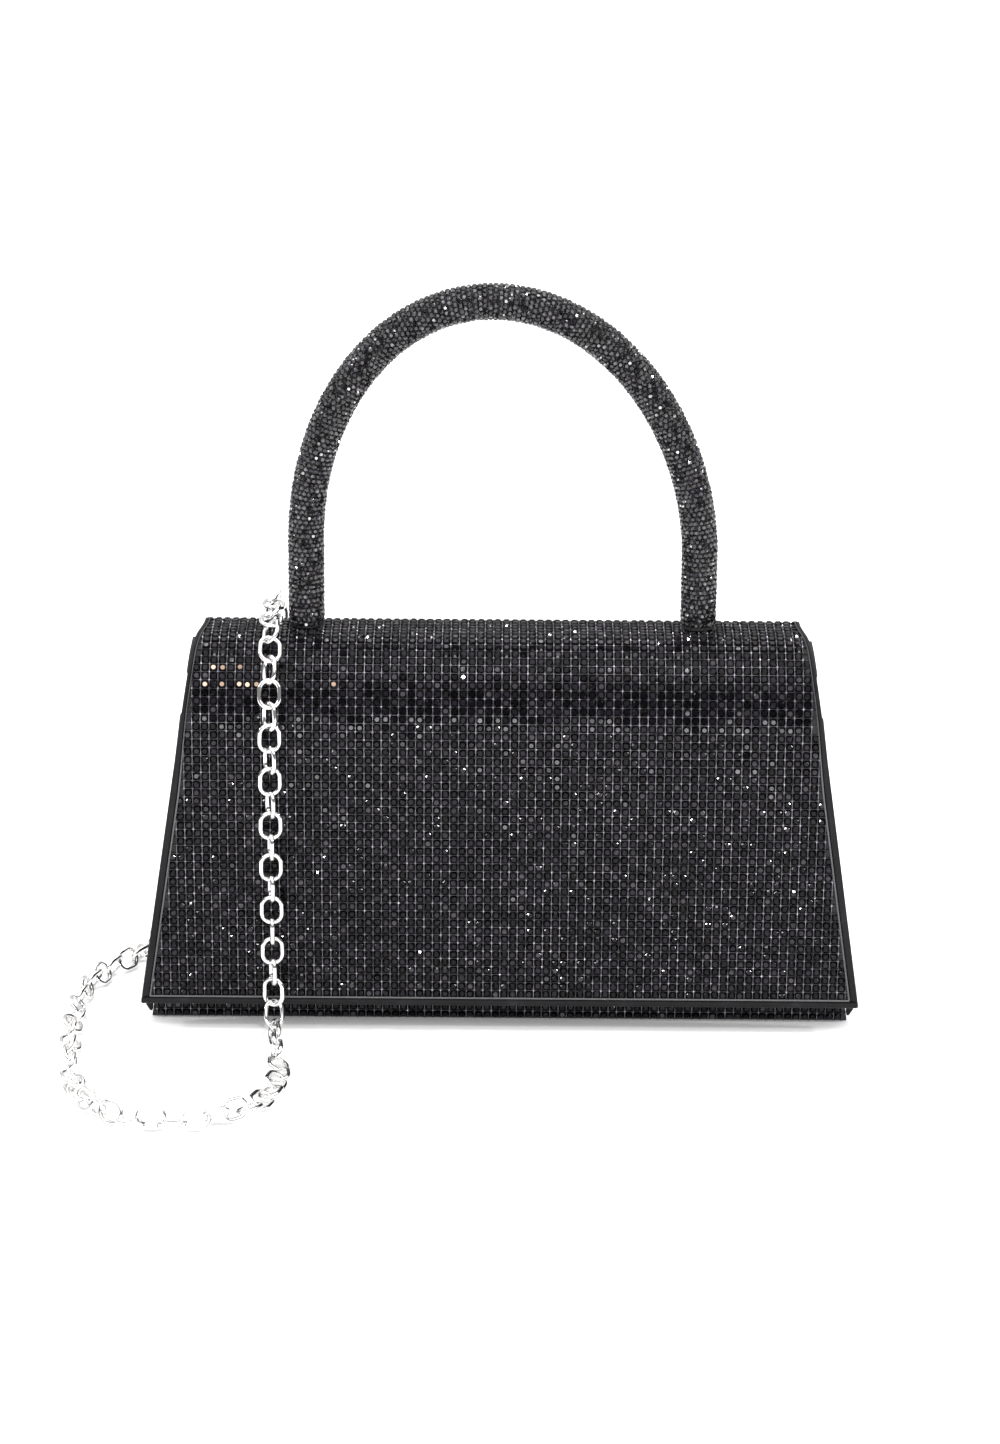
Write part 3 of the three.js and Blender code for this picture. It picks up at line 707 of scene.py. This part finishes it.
def add_coil_tie():
    """Paper band round both turns, its ends lapped on the outside."""
    left, right = tie_low.x, tie_high.x
    middle = (COIL_CENTRE[1] + COIL_RADIUS) * MM
    half = LINK_WIDTH / 2 + 0.9 * MM
    bottom, top = 0.6 * MM, (COIL_LEVELS[1] + 0.7) * MM + LINK_WIDTH / 2
    band = add_box((left, middle - half, bottom), (right, middle + half, top))
    select_faces(band, lambda centre, normal: abs(normal.x) > 0.5)
    bpy.ops.mesh.delete(type="FACE")
    bpy.ops.mesh.select_all(action="SELECT")
    bpy.ops.mesh.subdivide(number_cuts=3)
    bpy.ops.object.mode_set(mode="OBJECT")
    with_modifier(band, "BEVEL", width=2.4 * MM, segments=5, limit_method="ANGLE")
    with_modifier(band, "SOLIDIFY", thickness=0.3 * MM, offset=1)
    lap_middle, lap_half = (top + bottom) / 2, (top - bottom) * 0.225
    inner, outer = middle + half + 0.325 * MM, middle + half + 0.575 * MM
    lap = add_box((left, inner, lap_middle - lap_half), (right, outer, lap_middle + lap_half))
    with_modifier(lap, "BEVEL", width=0.1 * MM, segments=2)
    pick(band)
    lap.select_set(True)
    bpy.ops.object.join()
    smooth(band)
    return finish_piece(band, "paper_tie", "root", PAPER, ["coil_tie"])


chain, chain_route, chain_length = add_chain()
paper_tie = add_coil_tie()
[tuple(p) for p in chain_route[::6]] + [tuple(chain_route[-1])]

# ---- Faces of the cover ------------------------------------------------------------------


class Panel:
    """A face of the bag: a route, swept straight across, with an edge at each side."""

    def __init__(self, route, across, edges):
        self.across = np.array(across, float)
        points = np.array(route, float)
        self.run = distances(points)
        self.points = points
        self.ways = unit(np.gradient(points, self.run, axis=0))
        self.length = self.run[-1]
        self.edges = edges

    def _between(self, u, table):
        return along_line(np.asarray(u, float), self.run, table)

    def way(self, u):
        return unit(self._between(u, self.ways))

    def out(self, u):
        return np.cross(self.way(u), self.across)

    def spot(self, c, u, lift=0.0):
        c, u = np.asarray(c, float), np.asarray(u, float)
        lift = np.asarray(lift, float)
        return (
            self._between(u, self.points)
            + c[..., None] * self.across
            + lift[..., None] * self.out(u)
        )

    def limits(self, u):
        return self.edges(self._between(u, self.points))

    def ends(self, u):
        """Both edges at one distance down the panel, as plain numbers."""
        return tuple(float(v) for v in self.limits(u))


def flap_profile():
    """Side view of the flap from its back edge, over the shoulder and down its front."""
    top, front, back = flap_high.z, flap_low.y, flap_high.y
    shoulder = back - FLAP_FLAT
    depth = shoulder - front - BOW_DEPTH
    roll_foot = top - ROLL_HEIGHT
    places = [(back, top), (shoulder + FLAP_FLAT / 2, top)]
    for angle in np.linspace(0, math.pi / 2, 40):
        y = shoulder - depth * math.sin(angle)
        places.append((y, roll_foot + ROLL_HEIGHT * math.cos(angle)))
    for z in np.linspace(roll_foot, flap_low.z, 30)[1:]:
        lean = max(0.0, (z - BOW_FOOT) / (roll_foot - BOW_FOOT))
        places.append((front + BOW_DEPTH * lean**2, z))
    return [(0, y, z) for y, z in places]


def soft_step(value, start, end):
    share = np.clip((value - start) / (end - start), 0, 1)
    return share * share * (3 - 2 * share)


def flap_outline(point):
    """Half width out to the binding's edge; it draws in towards the hinge."""
    drawn_in = DRAWN_IN * soft_step(point[..., 1], front_low.y + 2 * MM, flap_high.y)
    return flap_high.x + BINDING_REACH - FLAP_SLOPE * (point[..., 2] - flap_low.z) - drawn_in


def tape_width(point):
    """The binding shows less over the shoulder."""
    return BINDING - 1.0 * MM * soft_step(point[..., 2], BINDING_WIDE, BINDING_NARROW)


def flap_edges(point):
    half = flap_outline(point) - tape_width(point)
    return -half, half


def side_half(z):
    return front_high.x - SIDE_SLOPE * z


def even(half):
    return lambda point: (-half(point[..., 2]), half(point[..., 2]))


flap_panel = Panel(flap_profile(), X, flap_edges)
front_panel = Panel(
    [(0, front_low.y, z) for z in np.linspace(front_high.z, 0, 12)], X, even(side_half)
)
back_panel = Panel(
    [(0, back_high.y - BACK_SLOPE * z, z) for z in np.linspace(strip_low.z, 0, 12)],
    -X,
    even(side_half),
)


def gusset_edges(point):
    """Front and back limits of a side wall at each height; the top follows the flap."""
    z = point[..., 2]
    room = FLAP_THICK + 2.8 * MM
    under = np.array(flap_profile()) - flap_panel.out(flap_panel.run) * room
    order = np.argsort(under[:, 2])
    roof = np.interp(z, under[order, 2], under[order, 1])
    front = np.maximum(gusset_low.y, np.where(z > gusset_high.z - ROLL_HEIGHT, roof, gusset_low.y))
    back = back_high.y - BACK_SLOPE * z - LAYER - GAP
    return front, np.maximum(back, front)


def gusset_panel(side):
    slope = side_half(0)
    foot, top = 0.0, gusset_high.z
    route = [(side * (slope - SIDE_SLOPE * z), 0, z) for z in np.linspace(top, foot, 24)]

    def edges(point):
        front, back = gusset_edges(point)
        return (front, back) if side > 0 else (-back, -front)

    return Panel(route, side * Y, edges)


def strip_panel():
    """Fold over the back edge: a quarter round, then a short tail down the back."""
    centre_y = flap_high.y + GAP
    centre_z = strip_high.z - HINGE_RADIUS
    places = []
    for angle in np.linspace(0, math.pi / 2 - BACK_LEAN, 16):
        y = centre_y + HINGE_RADIUS * math.sin(angle)
        places.append((0, y, centre_z + HINGE_RADIUS * math.cos(angle)))
    end = places[-1]
    drop = end[2] - strip_low.z
    for share in (0.5, 1.0):
        places.append((0, end[1] + drop * share * BACK_SLOPE, end[2] - drop * share))
    half = strip_high.x - FOLD_SET_IN
    return Panel(places, -X, lambda point: (point[..., 2] * 0 - half, point[..., 2] * 0 + half))


hinge_panel = strip_panel()


# ---- Stones, net and backing -------------------------------------------------------------


def cut_stone(radius=STONE_RADIUS, height=STONE_HEIGHT):
    """Flat-backed stone: eight sides, eight crown facets and a table."""
    girdle = height * 0.35
    clear_selection()
    bpy.ops.mesh.primitive_cylinder_add(
        vertices=8, radius=radius, depth=girdle, location=(0, 0, girdle / 2),
        rotation=(0, 0, math.radians(22.5)),
    )
    stone = settle(bpy.context.object)
    select_faces(stone, lambda centre, normal: normal.z > 0.5)
    bpy.ops.mesh.inset(thickness=radius * 0.40)
    bpy.ops.transform.translate(value=(0, 0, height - girdle))
    bpy.ops.object.mode_set(mode="OBJECT")
    return stone


def net_bead():
    """Small four-sided knot where the threads of the net cross."""
    clear_selection()
    bpy.ops.mesh.primitive_cone_add(
        vertices=4, radius1=0.34 * MM, radius2=0.12 * MM, depth=0.32 * MM,
        location=(0, 0, 0.16 * MM), rotation=(0, 0, math.radians(45)),
    )
    return settle(bpy.context.object)


def tilted(first, third, amount, rng):
    """Axes of each copy, its face tipped a little and turned a little on its back."""
    second = np.cross(third, first)
    count = len(first)
    tip_a = rng.normal(0, amount, count)[:, None]
    tip_b = rng.normal(0, amount, count)[:, None]
    third = unit(third + first * tip_a + second * tip_b)
    turn = rng.normal(0, 0.12, count)[:, None]
    first = first * np.cos(turn) + second * np.sin(turn)
    first = unit(first - third * (first * third).sum(1)[:, None])
    return first, np.cross(third, first), third


def stone_seats(panel, keep=None):
    """Centres (across, down) in rows and columns, as far as the panel's edges allow."""
    rows = max(1, round(panel.length / PITCH))
    step = panel.length / rows
    seats = []
    for row in range(rows):
        u = (row + 0.5) * step
        low, high = panel.ends(u)
        first = math.ceil((low + SEAT_MARGIN) / PITCH - 0.5)
        last = math.floor((high - SEAT_MARGIN) / PITCH - 0.5)
        for column in range(first, last + 1):
            c = (column + 0.5) * PITCH
            if keep is None or keep(c, u):
                seats.append((c, u))
    return np.array(seats)


def bare_patch(origins, rng):
    """Stones that have lost their dark foil, in a few rows by the left shoulder."""
    x, z = origins[:, 0], origins[:, 2]
    near = (z > PATCH_FOOT) & (z < PATCH_TOP) & (x < PATCH_END) & (origins[:, 1] < -10 * MM)
    lone = (z > PATCH_FOOT) & (z < LONE_TOP) & (np.abs(x - LONE_X) < PITCH / 2)
    return (near & (rng.random(len(x)) < 0.34)) | lone


def lay_stones(name, panel, body, seed, keep=None):
    """Stones over a whole panel, each a little off its place."""
    rng = np.random.default_rng(seed)
    seats = stone_seats(panel, keep)
    seats = seats + rng.normal(0, 0.06 * MM, seats.shape)
    c, u = seats[:, 0], seats[:, 1]
    origins = panel.spot(c, u, np.full(len(c), SEAT))
    first = np.tile(panel.across, (len(c), 1))
    first, second, third = tilted(first, panel.out(u), 0.06, rng)
    stone = cut_stone()
    tint = rng.random(len(c)) * 0.94
    tint = np.where(bare_patch(origins, rng), rng.uniform(0.96, 1, len(c)), tint)
    piece = strew(name, stone, origins, first, second, third, tint)
    discard(stone)
    return finish_piece(piece, name, body, GLASS)


def ribbons(name, strips, width, height):
    """One mesh of thin flat threads. Each strip is a list of (point, side, out)."""
    places, faces = [], []
    for strip in strips:
        start = len(places)
        for point, side, out in strip:
            for across, up in ((-0.5, 0), (0.5, 0), (0.28, 1), (-0.28, 1)):
                places.append(point + side * across * width + out * up * height)
        for i in range(len(strip) - 1):
            a = start + 4 * i
            for k in range(4):
                n = (k + 1) % 4
                faces.append((a + k, a + n, a + 4 + n, a + 4 + k))
        faces.append((start + 3, start + 2, start + 1, start))
        end = start + 4 * (len(strip) - 1)
        faces.append((end, end + 1, end + 2, end + 3))
    return add_mesh(name, places, faces)


def lay_net(name, panel, body, seed, along_step=None):
    """Threads between the columns and rows of stones, and a knot where they cross."""
    rng = np.random.default_rng(seed)
    rows = max(1, round(panel.length / PITCH))
    step = panel.length / rows
    us = np.linspace(0, panel.length, rows + 1)
    if along_step:
        us = np.linspace(0, panel.length, max(2, int(panel.length / along_step)))
    limits = [panel.ends(u) for u in us]
    widest = max(high for _, high in limits)
    narrow = min(low for low, _ in limits)
    strips = []
    for column in range(math.ceil(narrow / PITCH), math.floor(widest / PITCH) + 1):
        c = column * PITCH
        inside = [low + 0.2 * MM < c < high - 0.2 * MM for low, high in limits]
        strip = []
        for u, ok in zip(us, inside):
            if ok:
                strip.append((panel.spot(c, u, SEAT), panel.across, panel.out(u)))
            elif len(strip) > 1:
                strips.append(strip)
                strip = []
        if len(strip) > 1:
            strips.append(strip)
    uprights = ribbons(name, strips, 0.24 * MM, 0.60 * MM)
    strips, knots = [], []
    for row in range(1, rows):
        u = row * step
        low, high = panel.ends(u)
        if high - low < PITCH:
            continue
        way, out = panel.way(u), panel.out(u)
        ends = [panel.spot(c, u, SEAT) for c in (low + 0.1 * MM, high - 0.1 * MM)]
        strips.append([(end, way, out) for end in ends])
        for column in range(math.ceil(low / PITCH + 0.2), math.floor(high / PITCH - 0.2) + 1):
            knots.append((column * PITCH, u))
    crossings = ribbons(name + "_rows", strips, 0.22 * MM, 0.44 * MM)
    knots = np.array(knots)
    knots = knots + rng.normal(0, 0.03 * MM, knots.shape)
    bead = net_bead()
    lift = rng.normal(0.50, 0.06, len(knots)) * MM + SEAT
    origins = panel.spot(knots[:, 0], knots[:, 1], lift)
    first = np.tile(panel.across, (len(knots), 1))
    axes = tilted(first, panel.out(knots[:, 1]), 0.16, rng)
    beads = strew(name + "_knots", bead, origins, *axes)
    discard(bead)
    finish_piece(beads, name + "_knots", body, KNOT)
    finish_piece(crossings, name + "_rows", body, CROSS_THREAD)
    finish_piece(uprights, name, body, THREAD)
    return uprights, crossings, beads


def sheet_on(panel, columns, rows, lift, thickness):
    """A sheet that follows a panel: a grid laid on it, then given its thickness."""
    clear_selection()
    bpy.ops.mesh.primitive_grid_add(x_subdivisions=columns, y_subdivisions=rows, size=2)
    piece = bpy.context.object
    flat = np.array([v.co for v in piece.data.vertices], float)
    u = (1 - flat[:, 1]) / 2 * panel.length
    low, high = panel.limits(u)
    c = low + (high - low) * (flat[:, 0] + 1) / 2
    placed = panel.spot(c, u, np.full(len(u), lift))
    piece.data.vertices.foreach_set("co", placed.ravel())
    piece.data.update()
    return with_modifier(piece, "SOLIDIFY", thickness=thickness, offset=-1)


def cover(name, panel, body, seed, replaced, keep=None, rows=2, along_step=None):
    """Backing, stones and net on one panel."""
    backing = sheet_on(panel, 2, rows, -STONE_HEIGHT, BACKING)
    smooth(backing)
    finish_piece(backing, name + "_backing", body, CLOTH, [replaced])
    lay_stones(name + "_stones", panel, body, seed, keep)
    lay_net(name + "_net", panel, body, seed + 50, along_step)


cover("flap", flap_panel, "flap", 1, "flap_cover", rows=80, along_step=1.3 * MM)


def clear_of_snap(c, u):
    return math.hypot(c, front_high.z - u - SNAP_Z) > SNAP_ROOM


def clear_of_tabs(c, u):
    z = strip_low.z - u * math.cos(BACK_LEAN)
    return not (abs(abs(c) - TAB_X) < TAB_ROOM and TAB_FOOT < z < TAB_TOP)


cover("front", front_panel, "root", 2, "front_cover", keep=clear_of_snap)
cover("back", back_panel, "root", 3, "back_cover", keep=clear_of_tabs)
for side, word in ((1, "right"), (-1, "left")):
    cover(f"gusset_{word}", gusset_panel(side), "root", 5 + side, f"gusset_cover_{word}", rows=24)


def add_hinge_fold():
    """Stones on the fold, which curves over from the back to the flap."""
    backing = sheet_on(hinge_panel, 2, 16, -STONE_HEIGHT, BACKING)
    finish_piece(smooth(backing), "hinge_fold_backing", None, CLOTH, ["hinge_strip"])
    stones = lay_stones("hinge_fold_stones", hinge_panel, None, 8)
    net = lay_net("hinge_fold_net", hinge_panel, None, 58, 1.3 * MM)
    for piece in (backing, stones, *net):
        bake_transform(piece)


add_hinge_fold()


def add_base():
    """Plain cloth under the bag, its edge turned up all round."""
    piece = copy_of_node("base_cover")
    with_modifier(piece, "BEVEL", width=0.5 * MM, segments=3, limit_method="ANGLE")
    smooth(piece)
    finish_piece(piece, "base_cloth", "root", CLOTH, ["base_cover"])


add_base()


# ---- Trim, lining and board --------------------------------------------------------------


def dressed(node, name, body, material, slot, bevel):
    """A soft trim piece: the frame's shape with its edges rounded."""
    piece = copy_of_node(node)
    with_modifier(piece, "BEVEL", width=bevel * MM, segments=3, limit_method="ANGLE")
    smooth(piece, 50)
    return finish_piece(piece, name, body, material, [node])


def add_trim():
    bound, lined = (HIDE, "edge_binding"), (TWILL, "lining_cloth")
    for word in ("left", "right"):
        dressed(f"seam_flange_{word}", f"seam_edge_{word}", "root", *bound, 0.6)
        dressed(f"mouth_binding_{word}", f"mouth_tape_{word}", "root", *bound, 0.6)
        dressed(f"gusset_lining_{word}", f"side_lining_{word}", "root", *lined, 0.3)
        dressed(f"strap_tab_{word}", f"strap_loop_{word}", "root", *bound, 0.35)
    dressed("mouth_binding_front", "mouth_tape_front", "root", *bound, 0.6)
    dressed("flap_binding_front", "flap_hem", "flap", *bound, 0.7)
    for wall in ("front", "back", "base"):
        dressed(f"{wall}_lining", f"{wall}_lining_cloth", "root", *lined, 0.3)
    dressed("slip_pocket", "pocket_patch", "root", *lined, 0.5)


def add_bar(name, low, high, slope=0.0):
    """A thin flat tape between two corners; slope moves its upper end across."""
    bar = add_box(low, high)
    for vertex in bar.data.vertices:
        vertex.co.x += slope * (vertex.co.z - low[2])
    with_modifier(bar, "BEVEL", width=0.18 * MM, segments=2, limit_method="ANGLE")
    return finish_piece(smooth(bar, 50), name, "root", HIDE)


def node_points(name):
    return [nodes[name].matrix_world @ v.co for v in nodes[name].data.vertices]


def add_edge_tapes():
    """Tape over the board edges that show when the flap is open."""
    board = node_points("gusset_board_right")
    end = min(spot.y for spot in board) + 0.2 * MM
    front = end - TAPE
    foot = front_high.z + 0.2 * MM
    top = max(spot.z for spot in board if spot.y < end)
    outer = side_half(foot) - LAYER - 0.05 * MM
    inner = side_half(foot) - WALL_THICK
    add_bar("side_tape_right", (inner, front, foot), (outer, end, top), -SIDE_SLOPE)
    add_bar("side_tape_left", (-outer, front, foot), (-inner, end, top), SIDE_SLOPE)
    rim = max(spot.z for spot in node_points("back_board"))
    back = back_high.y - BACK_SLOPE * rim
    half = side_half(rim) - LAYER - GAP
    add_bar("back_tape", (-half, back - WALL_THICK, rim), (half, back - LAYER - GAP, rim + TAPE))


def section_along(name, panel, side, section):
    """A closed section of (in from the edge, lift) points, carried down one side of a panel."""
    us = np.linspace(0, panel.length, 90)
    places, faces = [], []
    count = len(section)
    for u in us:
        point = panel.spot(0, u)
        edge, shown = float(flap_outline(point)), float(tape_width(point)) / BINDING
        for inward, lift in section:
            places.append(panel.spot(side * (edge - inward * shown), u, lift))
    for i in range(len(us) - 1):
        for k in range(count):
            a, b = i * count + k, i * count + (k + 1) % count
            faces.append((a, b, b + count, a + count))
    faces.append(tuple(range(count)))
    faces.append(tuple(range(len(places) - 1, len(places) - count - 1, -1)))
    return add_mesh(name, places, faces)


def rounded(width, low, high, radius):
    """Corners of an upright oblong with round corners, as (in from the edge, lift) points."""
    points = []
    centres = (
        (width - radius, high - radius, 0), (radius, high - radius, 90),
        (radius, low + radius, 180), (width - radius, low + radius, 270),
    )
    for across, up, start in centres:
        for k in range(5):
            angle = math.radians(start + 22.5 * k)
            points.append((across + radius * math.cos(angle), up + radius * math.sin(angle)))
    return points


def add_flap_edges():
    tape = rounded(BINDING, -FLAP_THICK, 0.2 * MM, 0.7 * MM)
    # Pale cord beside each side binding: a painted highlight for the reflection along the
    # binding's rounded inner edge.
    cord = [
        (BINDING + 0.32 * MM + 0.3 * MM * math.cos(a), -0.1 * MM + 0.3 * MM * math.sin(a))
        for a in np.linspace(0, 2 * math.pi, 9)[:-1]
    ]
    for side, word in ((1, "right"), (-1, "left")):
        binding = smooth(section_along(f"flap_tape_{word}", flap_panel, side, tape), 50)
        finish_piece(
            binding, f"flap_tape_{word}", "flap", HIDE, [f"flap_binding_{word}"]
        )
        highlight_cord_piece = smooth(section_along(f"flap_highlight_cord_{word}", flap_panel, side, cord), 60)
        finish_piece(highlight_cord_piece, f"flap_highlight_cord_{word}", "flap", HIGHLIGHT_CORD)
    # The same pale cord along the hem: a painted highlight for the reflection along the binding's
    # edge.
    half = flap_high.x
    clear_selection()
    bpy.ops.mesh.primitive_cylinder_add(
        vertices=8, radius=0.3 * MM, depth=2 * half,
        location=(0, flap_low.y + 0.05 * MM, flap_low.z + 0.05 * MM),
        rotation=(0, math.radians(90), 0),
    )
    hem_highlight_cord = smooth(settle(bpy.context.object), 60)
    finish_piece(hem_highlight_cord, "flap_highlight_cord_hem", "flap", HIGHLIGHT_CORD)


def add_flap_lining():
    piece = sheet_on(flap_panel, 24, 90, -FLAP_THICK + 1.0 * MM, 0.8 * MM)
    smooth(piece)
    finish_piece(piece, "flap_lining_cloth", "flap", TWILL, ["flap_lining"])


add_trim()
add_edge_tapes()
add_flap_edges()
add_flap_lining()

# ---- Handle ------------------------------------------------------------------------------


def handle_route(foot):
    """Up the left leg, over the arch and down the right leg."""
    places = [(-HANDLE_REACH, HANDLE_Y, z) for z in np.linspace(foot, HANDLE_CENTRE_Z, 24)]
    for angle in np.linspace(math.pi, 0, 120)[1:-1]:
        lift = math.sin(angle)
        x = HANDLE_REACH * math.cos(angle) - HANDLE_LEAN * lift**1.2
        places.append((x, HANDLE_Y, HANDLE_CENTRE_Z + HANDLE_RISE * lift))
    places += [(HANDLE_REACH, HANDLE_Y, z) for z in np.linspace(HANDLE_CENTRE_Z, foot, 24)]
    return np.array(places)


def tube(name, route, radius, closed=False):
    """A round bar along a line of points."""
    clear_selection()
    line = bpy.data.curves.new(name, "CURVE")
    line.dimensions = "3D"
    spline = line.splines.new("POLY")
    spline.points.add(len(route) - 1)
    for point, place in zip(spline.points, route):
        point.co = (*place, 1)
    spline.use_cyclic_u = closed
    line.bevel_depth = radius
    line.bevel_resolution = 6
    line.use_fill_caps = not closed
    piece = bpy.data.objects.new(name, line)
    bpy.context.scene.collection.objects.link(piece)
    pick(piece)
    bpy.ops.object.convert(target="MESH")
    return smooth(bpy.context.object, 50)


def add_handle():
    """Cloth skin with rings of small stones, every other ring turned by half a stone."""
    rng = np.random.default_rng(21)
    foot = handle_low.z
    route = handle_route(foot)
    skin = tube("handle_skin", route, HANDLE_RADIUS - 0.45 * MM)
    finish_piece(skin, "handle_skin", "flap", CLOTH, ["handle_cover"])
    run = distances(route)
    around, pitch, height = 20, 1.42 * MM, 0.62 * MM
    origins, firsts, thirds = [], [], []
    rows = int((run[-1] - 1.2 * MM) / pitch)
    for row in range(rows):
        u = 1.2 * MM + row * pitch + rng.normal(0, 0.05 * MM)
        centre = along_line(u, run, route)
        way = unit(along_line(u + 0.4 * MM, run, route) - centre)
        sideways = np.cross(Y, way)
        for k in range(around):
            angle = 2 * math.pi * (k + 0.5 * (row % 2)) / around + rng.normal(0, 0.02)
            out = Y * math.cos(angle) + sideways * math.sin(angle)
            origins.append(centre + out * (HANDLE_RADIUS - height + rng.normal(0, 0.04) * MM))
            firsts.append(way)
            thirds.append(out)
    stone = cut_stone(0.80 * MM, height)
    axes = tilted(np.array(firsts), np.array(thirds), 0.20, rng)
    tint = rng.random(len(origins)) * 0.94
    piece = strew("handle_stones", stone, np.array(origins), *axes, tint)
    discard(stone)
    finish_piece(piece, "handle_stones", "flap", SMALL_GLASS)


add_handle()

# ---- Fittings ----------------------------------------------------------------------------


def add_rings():
    """D-rings of round wire."""
    for word in ("left", "right"):
        low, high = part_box(f"strap_ring_{word}")
        wire = 1.0 * MM
        half = (high.x - low.x) / 2 - wire
        middle = (low.x + high.x) / 2
        pivot = np.array([middle, *RING_AXIS])
        if word == "left":
            way, reach = Z, high.z - pivot[2] - wire
        else:
            way, reach = DOWN_THE_BACK, (pivot[2] - low.z) / math.cos(BACK_LEAN) - wire
        places = []
        for angle in np.linspace(0, math.pi, 40):
            up = reach * math.sin(angle) ** 0.8
            places.append(pivot + X * half * math.cos(angle) + way * up)
        ring = tube(f"d_ring_{word}", places, wire, closed=True)
        finish_piece(ring, f"d_ring_{word}", f"ring_{word}", SILVER,
                     [f"strap_ring_{word}"])


def keep_with(material, *names):
    for name in names:
        piece = nodes[name]
        piece.data.materials.clear()
        piece.data.materials.append(material)


def stitches(name, body, places, ways, outs):
    """Short waxed stitches: a thread dips in at both ends of each."""
    clear_selection()
    bpy.ops.mesh.primitive_cylinder_add(
        vertices=8, radius=0.17 * MM, depth=1.7 * MM, rotation=(0, math.radians(90), 0)
    )
    stitch = settle(bpy.context.object)
    select_faces(stitch, lambda centre, normal: abs(normal.x) > 0.5)
    bpy.ops.mesh.inset(thickness=0.08 * MM)
    bpy.ops.transform.translate(value=(0, 0, -0.12 * MM))
    bpy.ops.object.mode_set(mode="OBJECT")
    thirds = np.array(outs, float)
    firsts = np.array(ways, float)
    seconds = np.cross(thirds, firsts)
    piece = strew(name, stitch, np.array(places), firsts, seconds, thirds)
    discard(stitch)
    smooth(piece, 60)
    return finish_piece(piece, name, body, STITCH)


def sew_tabs():
    """A row of stitches down each edge of the tabs, under the rivet."""
    for word in ("left", "right"):
        low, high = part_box(f"strap_tab_{word}")
        places = []
        for edge in (low.x + 0.9 * MM, high.x - 0.9 * MM):
            for i in range(6):
                z = low.z + 1.6 * MM + i * 2.3 * MM
                y = back_high.y - BACK_SLOPE * z + 1.62 * MM
                places.append((edge, y, z))
        count = len(places)
        stitches(f"tab_stitches_{word}", "root", places,
                 [DOWN_THE_BACK] * count, [OUT_OF_THE_BACK] * count)


def sew_pocket():
    """The patch pocket is sewn down both sides and along its foot."""
    low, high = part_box("slip_pocket")
    turns = [
        (low.x + 1.5 * MM, high.z - 1 * MM), (low.x + 1.5 * MM, low.z + 1.5 * MM),
        (high.x - 1.5 * MM, low.z + 1.5 * MM), (high.x - 1.5 * MM, high.z - 1 * MM),
    ]
    places, ways = [], []
    for (x0, z0), (x1, z1) in zip(turns, turns[1:]):
        run = math.hypot(x1 - x0, z1 - z0)
        for i in range(int(run / (2.4 * MM))):
            share = (i + 0.5) * 2.4 * MM / run
            z = z0 + (z1 - z0) * share
            places.append((x0 + (x1 - x0) * share, low.y - BACK_SLOPE * (z - high.z), z))
            ways.append(X if abs(x1 - x0) > abs(z1 - z0) else -DOWN_THE_BACK)
    stitches("pocket_stitches", "root", places, ways, [-OUT_OF_THE_BACK] * len(places))


sew_tabs()
sew_pocket()
add_rings()
keep_with(BOARD, "front_board", "back_board", "base_board", "flap_board",
          "gusset_board_left", "gusset_board_right")
keep_with(NICKEL, "snap_socket", "snap_socket_washer", "snap_stud", "snap_stud_washer",
          "strap_tab_rivet_left", "strap_tab_rivet_right", "handle_wire",
          "handle_nut_left", "handle_nut_right")
keep_with(FOAM, "handle_core")

# ---- Studio ------------------------------------------------------------------------------


def add_floor():
    clear_selection()
    bpy.ops.mesh.primitive_plane_add(size=80, location=(0, 1, -0.0002))
    floor = bpy.context.object
    floor.name = "studio_floor"
    floor.data.materials.append(studio_floor())


def add_lamp(name, place, aim, size, power):
    clear_selection()
    bpy.ops.object.light_add(type="AREA", location=place)
    lamp = bpy.context.object
    lamp.name = name
    lamp.data.shape = "RECTANGLE"
    lamp.data.size, lamp.data.size_y = size
    lamp.data.energy = power
    lamp.rotation_euler = (Vector(aim) - Vector(place)).to_track_quat("-Z", "Y").to_euler()


def add_world():
    """Bright overhead and behind, dark where the viewer stands."""
    world = bpy.data.worlds.new("studio")
    bpy.context.scene.world = world
    world.use_nodes = True
    sky = Nodes(world.node_tree)
    _, back, up = sky.axes(sky.add("TexCoord", output="Generated"))
    overhead = 1 - up.below(0.60, 0.14)
    backdrop = 1 - back.below(0.15, 0.30)
    strength = 0.26 + overhead * 1.75 + backdrop * 0.5
    background = world.node_tree.nodes["Background"]
    background.inputs["Color"].default_value = (1, 1, 1, 1)
    sky.feed(background.inputs["Strength"], strength)


add_floor()
add_world()
add_lamp("shoulder_strip", (0, 0.42, 1.15), (0, 0, 0.1), (1.6, 0.03), 3)
add_lamp("high_spark", (0.10, -0.82, 1.62), (0, 0, 0.08), (0.05, 0.05), 6)
add_lamp("low_front", (0, -0.90, 0.05), (0, -0.02, 0.03), (1.4, 0.05), 4)
add_lamp("left_spark", (-1.15, -0.16, 0.74), (0, 0, 0.08), (0.06, 0.06), 5)
add_lamp("right_spark", (1.15, -0.08, 0.70), (0, 0, 0.08), (0.06, 0.06), 5)
bpy.context.scene.view_settings.view_transform = "Standard"
